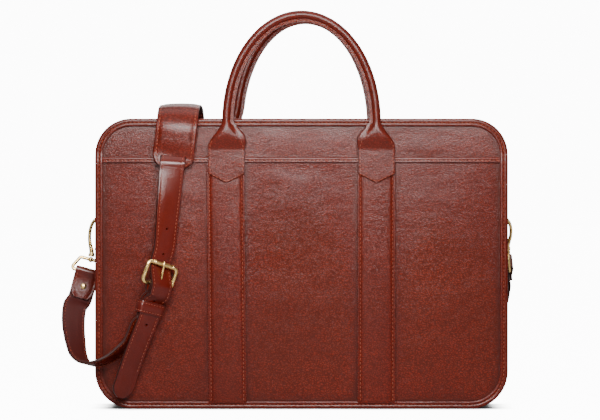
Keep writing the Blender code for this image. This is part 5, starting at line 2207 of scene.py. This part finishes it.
    def keeper(self) -> list[bpy.types.Object]:
        """The leather loop round the tongue and the short strap.

        Returns:
            The finished pieces.
        """
        leather, reach = 0.0014, FIT.keeper_width / 2
        half = self.width / 2 + 3 * FIT.gap + leather / 2
        lift = self.half_stack() + self.thickness / 2 + 3 * FIT.gap + leather / 2
        bend = 0.55 * lift
        path = rounded_box(half, lift, bend, 5)
        groove = reach - 0.0020
        section = [(reach, 0.0), (reach, 0.3), (reach - 0.0003, 0.47), (groove + 0.0004, 0.53)]
        section += [(groove, 0.42), (groove - 0.0004, 0.53), (0.0, 0.60)]
        upper = section + [(-along, out) for along, out in reversed(section[:-1])]
        whole = upper + [(-reach, -0.3), (-reach + 0.0003, -0.5), (reach - 0.0003, -0.5), (reach, -0.3)]
        rings = []
        for across, out, way in path:
            rings.append([
                FIT.keeper.at(across + way[0] * share * leather, along, out + way[1] * share * leather)
                for along, share in whole
            ])
        loop = Piece("keeper_loop", STRAP_FACES[:2], "leather", replaces=("strap_keeper",))
        made = loop.place(skin(rings, cyclic=True, painted=(0, 1, 11, 12, 13, 15)))
        seam = Seam(pitch=0.0034, length=0.0026, thickness=0.0006)
        for edge in (-1, 1):
            line = []
            for across, out, (way_x, way_z) in [*path, path[0]]:
                rise = 0.45 * leather
                point = FIT.keeper.at(across + way_x * rise, edge * groove, out + way_z * rise)
                line.append((point, FIT.keeper.across * way_x + FIT.keeper.out * way_z))
            seam.follow(line)
        return [made, seam.sew("stitches_keeper")]

    def rivet(self) -> bpy.types.Object:
        """The domed rivet that closes the flap.

        Returns:
            The finished piece.
        """
        place = FIT.ring_frame("left")
        out = 0.55 * FIT.layer + self.thickness / 2 + 0.0001
        cap = bmesh.new()
        made = bmesh.ops.create_uvsphere(cap, u_segments=28, v_segments=16, radius=0.0030)
        bmesh.ops.scale(cap, vec=(1.0, 1.0, 0.45), verts=made["verts"])
        parts = [*cap.verts, *cap.edges, *cap.faces]
        bmesh.ops.bisect_plane(cap, geom=parts, plane_co=(0, 0, 0), plane_no=(0, 0, 1), clear_inner=True)
        bmesh.ops.holes_fill(cap, edges=[edge for edge in cap.edges if edge.is_boundary], sides=0)
        bmesh.ops.recalc_face_normals(cap, faces=cap.faces)
        middle = place.at(along=-0.55 * FIT.flap, out=out)
        bmesh.ops.transform(cap, matrix=Frame(middle, place.across, place.along).matrix(), verts=cap.verts)
        return Piece("rivet_cap", (Finish.BRASS,), "brass", replaces=("strap_rivet",)).place(cap)


# Metal fittings


@dataclass
class Buckle:
    """The fastened buckle: a rounded frame, a roller on its upper bar and a prong."""

    corner_steps: int = 8
    place: Frame = Frame((-0.1406, -0.0612, 0.1345), (0.82, 0.56, -0.10), (0.33, 0.02, 0.94))
    width: float = 0.0385
    wire: float = 0.0041

    def build(self) -> list[bpy.types.Object]:
        """Make the frame with its roller, and the prong."""
        return [self.ring(), self.prong()]

    def ring(self) -> bpy.types.Object:
        """The frame and the roller that turns on its upper bar.

        Returns:
            The finished piece.
        """
        half = (self.width - self.wire) / 2
        bend = half - FIT.strap_width / 2 - FIT.gap
        corners = rounded_box(half, FIT.bar_reach, bend, self.corner_steps)
        points = [self.place.at(across, along) for across, along, _ in corners]
        radius, out = self.wire / 2, self.place.out
        frame_bar = tube(points, [radius] * len(points), 16, cyclic=True, flatten=0.88, side_way=out)
        reach = FIT.strap_width / 2 + 0.0002
        ends = ((0.0, 0.85), (0.0004, 1.0), (0.0016, 1.0), (0.0019, 0.9), (0.0022, 1.0))
        stations = [(-reach + inside, share) for inside, share in ends]
        stations += [(-across, share) for across, share in reversed(stations)]
        roller_points = [self.place.at(across, FIT.bar_reach) for across, _ in stations]
        roller = tube(roller_points, [1.17 * radius * share for _, share in stations], 20, side_way=out)
        piece = Piece("buckle_ring", (Finish.BRASS,), "brass", replaces=("buckle_frame",))
        return piece.place(joined(frame_bar, roller))

    def prong(self) -> bpy.types.Object:
        """The prong, curled round the lower bar and resting on the roller.

        Returns:
            The finished piece.
        """
        radius = FIT.prong_height
        rows = []
        for degrees in (-300, -260, -220, -180, -140, -100, -50, 0):
            turn = math.radians(degrees)
            rows.append((radius * math.sin(turn), radius * math.cos(turn), 1.0))
        tip = 2 * FIT.bar_reach + FIT.buckle_wire / 2 + FIT.prong / 2
        rows += [(0.3 * tip, radius, 1.0), (0.65 * tip, 1.03 * radius, 0.95)]
        rows += [(0.9 * tip, 1.05 * radius, 0.85), (tip, 0.8 * radius, 0.6)]
        route = smooth_route(rows, 5)
        points = [FIT.heel.at(along=row[0], out=row[1]) for row in route]
        radii = [FIT.prong / 2 * row[2] for row in route]
        piece = Piece("prong_bar", (Finish.BRASS,), "brass", replaces=("buckle_prong",))
        return piece.place(tube(points, radii, 14, side_way=FIT.heel.across), angle=50.0)


@dataclass
class SideFittings:
    """One side's leather tab, D-ring, snap hook and swivel ring."""

    where: str
    hook_rows: tuple = (
        (0.030, 0.000, 1.70),
        (0.065, 0.000, 1.70),
        (0.100, 0.000, 1.70),
        (0.125, -0.006, 1.40),
        (0.190, -0.020, 1.35),
        (0.300, -0.060, 1.15),
        (0.420, -0.095, 1.05),
        (0.560, -0.115, 1.00),
        (0.700, -0.115, 1.00),
        (0.830, -0.090, 1.00),
        (0.930, -0.040, 1.00),
        (0.985, 0.018, 1.00),
        (1.000, 0.060, 1.00),
        (0.985, 0.110, 1.00),
        (0.940, 0.155, 1.00),
        (0.870, 0.190, 1.00),
        (0.800, 0.205, 0.97),
    )
    collar_rows: tuple = (
        (0.030, 1.72),
        (0.038, 1.90),
        (0.050, 1.90),
        (0.056, 1.76),
        (0.068, 1.76),
        (0.074, 1.90),
        (0.092, 1.90),
        (0.100, 1.72),
    )

    def build(self) -> list[bpy.types.Object]:
        """Make this side's fittings."""
        return [*self.tab(), self.d_ring(), self.swivel_ring(), *self.hook()]

    def brass(self, name: str, node: str, shape: bmesh.types.BMesh, body: str = "case") -> bpy.types.Object:
        """One brass piece that stands for a node."""
        return Piece(name, (Finish.BRASS,), "brass", body, (node,)).place(shape, angle=50.0)

    def d_ring(self) -> bpy.types.Object:
        """Straight bar on top, round below, leaning out from the case.

        Returns:
            The finished piece.
        """
        side, lean = FIT.side(self.where), FIT.lean(self.where)
        bar = Vector((FIT.face(self.where) + side * FIT.bar_offset(), 0.0, FIT.bar_height))
        down = Vector((side * math.sin(lean), 0.0, -math.cos(lean)))
        half = (FIT.d_width - FIT.d_wire) / 2
        points = [bar + Vector((0, y * half, 0)) for y in (-0.85, -0.4, 0.0, 0.4, 0.85)]
        for step in range(49):
            angle = math.pi * step / 48
            drop = FIT.d_height * (0.12 + 0.88 * math.sin(angle) ** 0.6)
            points.append(bar + Vector((0, half * math.cos(angle), 0)) + down * drop)
        plane = down.cross(Vector((0.0, 1.0, 0.0)))
        shape = tube(points, [FIT.d_wire / 2] * len(points), 16, cyclic=True, side_way=plane)
        return self.brass(f"ring_{self.where}", f"d_ring_{self.where}", shape)

    def swivel_ring(self) -> bpy.types.Object:
        """The ball of the swivel with the four-sided ring that the strap turns over.

        Returns:
            The finished piece.
        """
        bar = FIT.ring_frame(self.where)
        narrow, wide = 0.47 * FIT.strap_width, FIT.strap_width / 2 + FIT.ring_wire
        bend = FIT.ring_wire
        reach = FIT.ring_reach
        right = [
            (0.0, reach), (narrow - bend, reach), (narrow - 0.3 * bend, reach - 0.1 * bend),
            (narrow, reach - 0.5 * bend), (0.5 * (narrow + wide), 0.5 * (reach + 0.5 * bend)), (wide, bend),
            (wide, 0.5 * bend), (wide - 0.25 * bend, 0.1 * bend), (wide - 0.7 * bend, 0.0), (0.0, 0.0),
        ]
        outline = right + [(-across, along) for across, along in reversed(right[1:-1])]
        fine = smooth_route([bar.at(across, along) for across, along in [*outline, outline[0]]], 3)[:-1]
        loop = tube(fine, [FIT.ring_wire / 2] * len(fine), 14, cyclic=True, side_way=bar.out)
        ball = bmesh.new()
        bmesh.ops.create_uvsphere(
            ball, u_segments=24, v_segments=16, radius=FIT.ball / 2,
            matrix=Matrix.Translation(FIT.ball_middle(self.where)),
        )
        return self.brass(f"swivel_{self.where}", f"hook_{self.where}_ring", joined(loop, ball))

    def hook(self) -> list[bpy.types.Object]:
        """The snap hook: its body and its sprung gate.

        Returns:
            The finished pieces.
        """
        place = FIT.hook_frame(self.where)
        length = FIT.hook_length
        route = smooth_route(self.hook_rows, 4)
        points = [place.at(length * row[1], length * row[0]) for row in route]
        body = tube(points, [FIT.hook_wire / 2 * row[2] for row in route], 16, side_way=place.out)
        collar_points = [place.at(0.0, length * along) for along, _ in self.collar_rows]
        collar_radii = [FIT.hook_wire / 2 * share for _, share in self.collar_rows]
        collar = tube(collar_points, collar_radii, 20, side_way=place.out)
        foot = place.at(0.080 * length, 0.200 * length)
        nose = place.at(0.204 * length, 0.780 * length)
        gate_rows = ((0.0, 0.6), (0.02, 0.9), (0.08, 1.0), (0.5, 1.0), (0.92, 1.0), (0.98, 0.9), (1.0, 0.6))
        bar_points = [foot.lerp(nose, along) for along, _ in gate_rows]
        bar = tube(bar_points, [0.00135 * share for _, share in gate_rows], 14, side_way=place.out)
        thumb = bmesh.new()
        bmesh.ops.create_uvsphere(thumb, u_segments=16, v_segments=10, radius=0.0013)
        bmesh.ops.translate(thumb, vec=foot.lerp(nose, 0.72) + place.across * 0.0016, verts=thumb.verts)
        gate = joined(bar, thumb)
        if self.where == "left":
            made = self.brass("snap_hook_left", "hook_left", joined(body, collar), "left_hook")
            return [made, self.brass("snap_gate_left", "hook_left_gate", gate, "left_gate")]
        return [self.brass("snap_hook_right", "hook_right", joined(body, collar, gate))]

    def tab(self) -> list[bpy.types.Object]:
        """The strip folded round the D-ring's bar and sewn to the side above it.

        Returns:
            The finished pieces.
        """
        side, face = FIT.side(self.where), FIT.face(self.where)
        leather = FIT.tab_leather
        half = (FIT.d_width - 2.8 * FIT.d_wire) / 2
        lining = FIT.gap + leather / 2
        radius = FIT.d_wire / 2 + FIT.gap + leather / 2
        outside = lining + leather + FIT.gap
        offset = FIT.bar_offset()
        profile = [(lining, FIT.tab_length), (lining, 0.3 * FIT.tab_length)]
        for step in range(7):
            angle = math.pi * step / 6
            profile.append((offset - radius * math.cos(angle), -radius * math.sin(angle)))
        profile += [(0.5 * (outside + offset + radius), 2 * radius), (outside, 4 * radius)]
        profile += [(outside, FIT.tab_length)]
        rows = [(face + side * out, 0.0, FIT.bar_height + up, 0.0, 1.0, 0.0) for out, up in profile]
        frames = route_frames(smooth_route(rows, 4))
        lift = leather / 2
        upper = [(half, 0.4 * lift), (half - 0.0003, lift), (half - 0.0020, lift), (0.0, 1.1 * lift)]
        upper += [(0.0020 - half, lift), (0.0003 - half, lift), (-half, 0.4 * lift)]
        section = upper + [(-across, -out) for across, out in upper]
        rings = [[place.at(across, 0.0, out) for across, out in section] for place in frames]
        nodes = (f"ring_tab_{self.where}",)
        piece = Piece(f"ring_tab_leather_{self.where}", STRAP_FACES[:2], "leather", replaces=nodes)
        made = piece.place(skin(rings, painted=(0, 5, 6, 7, 12, 13)))
        seam = Seam(pitch=0.0034, length=0.0026)
        x = face + side * (outside + leather / 2 - 0.0001)
        low, high = FIT.bar_height + 4.2 * radius, FIT.bar_height + FIT.tab_length - 0.0024
        inner = half - 0.0022
        corners = [(-inner, low), (-inner, high), (inner, high), (inner, low), (-inner, low)]
        line = []
        for (y_start, z_start), (y_end, z_end) in zip(corners, corners[1:]):
            for step in range(8):
                share = step / 8
                point = Vector((x, between(y_start, y_end, share), between(z_start, z_end, share)))
                line.append((point, Vector((side, 0.0, 0.0))))
        seam.follow(line)
        return [made, seam.sew(f"stitches_ring_tab_{self.where}")]


# The studio


@dataclass(frozen=True)
class SoftLight:
    """A soft rectangular light that faces a target."""

    name: str
    place: tuple[float, float, float]
    target: tuple[float, float, float]
    size: tuple[float, float]
    power: float

    def build(self) -> None:
        """Add the light to the scene."""
        data = bpy.data.lights.new(self.name, "AREA")
        data.shape = "RECTANGLE"
        data.size, data.size_y = self.size
        data.energy = self.power
        made = bpy.data.objects.new(self.name, data)
        made.location = self.place
        way = Vector(self.target) - Vector(self.place)
        made.rotation_euler = way.to_track_quat("-Z", "Y").to_euler()
        bpy.context.scene.collection.objects.link(made)


LIGHTS = (
    SoftLight("key", (-0.6, -2.3, 1.9), (0.0, 0.0, 0.2), (1.2, 0.8), 22.0),
    SoftLight("card", (0.0, -0.95, 0.58), (0.0, 0.0, 0.35), (0.60, 0.42), 27.0),
    SoftLight("rear", (0.3, 2.4, 1.5), (0.0, 0.0, 0.15), (2.0, 1.0), 16.0),
    SoftLight("overhead", (0.0, 0.0, 1.7), (0.0, 0.0, 0.0), (2.2, 1.2), 22.0),
    SoftLight("left", (-2.3, -1.2, 0.9), (0.0, 0.0, 0.15), (0.7, 1.4), 4.0),
    SoftLight("right", (2.3, -1.2, 0.9), (0.0, 0.0, 0.15), (0.7, 1.4), 4.0),
)


@dataclass(frozen=True)
class Studio:
    """A pale floor, soft lights and the camera at the photograph's angle."""

    floor_colour: Colour = (0.30, 0.30, 0.30)
    near_floor_shade: Colour = (0.04, 0.04, 0.04)
    dim: Colour = (0.03, 0.03, 0.03)
    lit: Colour = (0.55, 0.55, 0.55)
    backdrop: float = 12.0
    lens: float = 165.6
    sensor: float = 36.0
    eye: tuple[float, float, float] = (-0.0015, -2.8, 0.199)

    def build(self) -> list[bpy.types.Object]:
        """Set up the floor, the surroundings, the lights and the camera.

        Returns:
            The finished pieces.
        """
        self.surroundings()
        for light in LIGHTS:
            light.build()
        self.camera()
        return [self.floor()]

    def floor(self) -> bpy.types.Object:
        """A wide matt floor, painted dark towards the camera as painted shade that only reflections and
        bounced light see; to the camera it glows pure white but for contact shadows.

        Returns:
            The finished piece.
        """
        material, wire, shader, place = start_material("studio_floor")
        depth = wire.add("ShaderNodeSeparateXYZ", {0: place}).outputs["Y"]
        # Painted shade: the floor darkens towards the camera so the case reflects less of it.
        near = wire.ramp(depth, -2.2, -0.6)
        colour = wire.mix(near, self.near_floor_shade, self.floor_colour)
        wire.feed(shader, {"Base Color": colour, "Roughness": 0.85})
        contact = wire.add("ShaderNodeAmbientOcclusion", {"Distance": 0.03}).outputs["AO"]
        glow = wire.maths("MULTIPLY", wire.ramp(contact, 0.35, 0.95), self.backdrop)
        white = wire.add("ShaderNodeEmission", {"Strength": glow})
        both = wire.add("ShaderNodeAddShader", {0: shader.outputs[0], 1: white.outputs[0]})
        seen = wire.add("ShaderNodeLightPath").outputs["Is Camera Ray"]
        shown = wire.add("ShaderNodeMixShader", {0: seen, 1: shader.outputs[0], 2: both.outputs[0]})
        wire.feed(material.node_tree.nodes["Material Output"], {"Surface": shown.outputs[0]})
        shape = bmesh.new()
        bmesh.ops.create_grid(shape, x_segments=4, y_segments=4, size=30.0)
        mesh = bpy.data.meshes.new("floor")
        shape.to_mesh(mesh)
        shape.free()
        mesh.materials.append(material)
        made = bpy.data.objects.new("floor", mesh)
        bpy.context.scene.collection.objects.link(made)
        return made

    def surroundings(self) -> None:
        """White behind the case, dim in front of it and bright above."""
        world = bpy.data.worlds.new("studio")
        world.use_nodes = True
        bpy.context.scene.world = world
        wire = Wiring(world.node_tree)
        world.node_tree.nodes.clear()
        way = wire.add("ShaderNodeTexCoord").outputs["Generated"]
        split = wire.add("ShaderNodeSeparateXYZ", {0: way}).outputs
        above = wire.ramp(split["Z"], 0.20, 0.90)
        behind = wire.ramp(split["Y"], 0.05, 0.6)
        share = wire.maths("MAXIMUM", above, behind)
        around = wire.add("ShaderNodeBackground", {"Color": wire.mix(share, self.dim, self.lit)})
        white = {"Color": (1.0, 1.0, 1.0, 1.0), "Strength": self.backdrop}
        backdrop = wire.add("ShaderNodeBackground", white)
        seen = wire.add("ShaderNodeLightPath").outputs["Is Camera Ray"]
        both = wire.add("ShaderNodeMixShader", {0: seen, 1: around.outputs[0], 2: backdrop.outputs[0]})
        wire.add("ShaderNodeOutputWorld", {"Surface": both.outputs[0]})

    def camera(self) -> None:
        """The camera, level with the upper part of the case."""
        data = bpy.data.cameras.new("camera")
        data.lens = self.lens
        data.sensor_width = self.sensor
        made = bpy.data.objects.new("camera", data)
        made.location = self.eye
        made.rotation_euler = (math.radians(90), 0.0, 0.0)
        bpy.context.scene.collection.objects.link(made)
        bpy.context.scene.camera = made


def main() -> None:
    """Build every assembly in order and report its pieces."""
    Studio().build()
    assemblies = [CaseBody(CASE), FrontPocket(CASE), ZIP, Handle(CASE, "front"), Handle(CASE, "back")]
    assemblies += [ShoulderStrap(), Buckle(), SideFittings("left"), SideFittings("right")]
    for assembly in assemblies:
        for piece in assembly.build():
            LOG.info("%s: %s, %d faces", type(assembly).__name__, piece.name, len(piece.data.polygons))


if __name__ == "__main__":
    logging.basicConfig(level=logging.INFO, format="%(message)s")
    main()
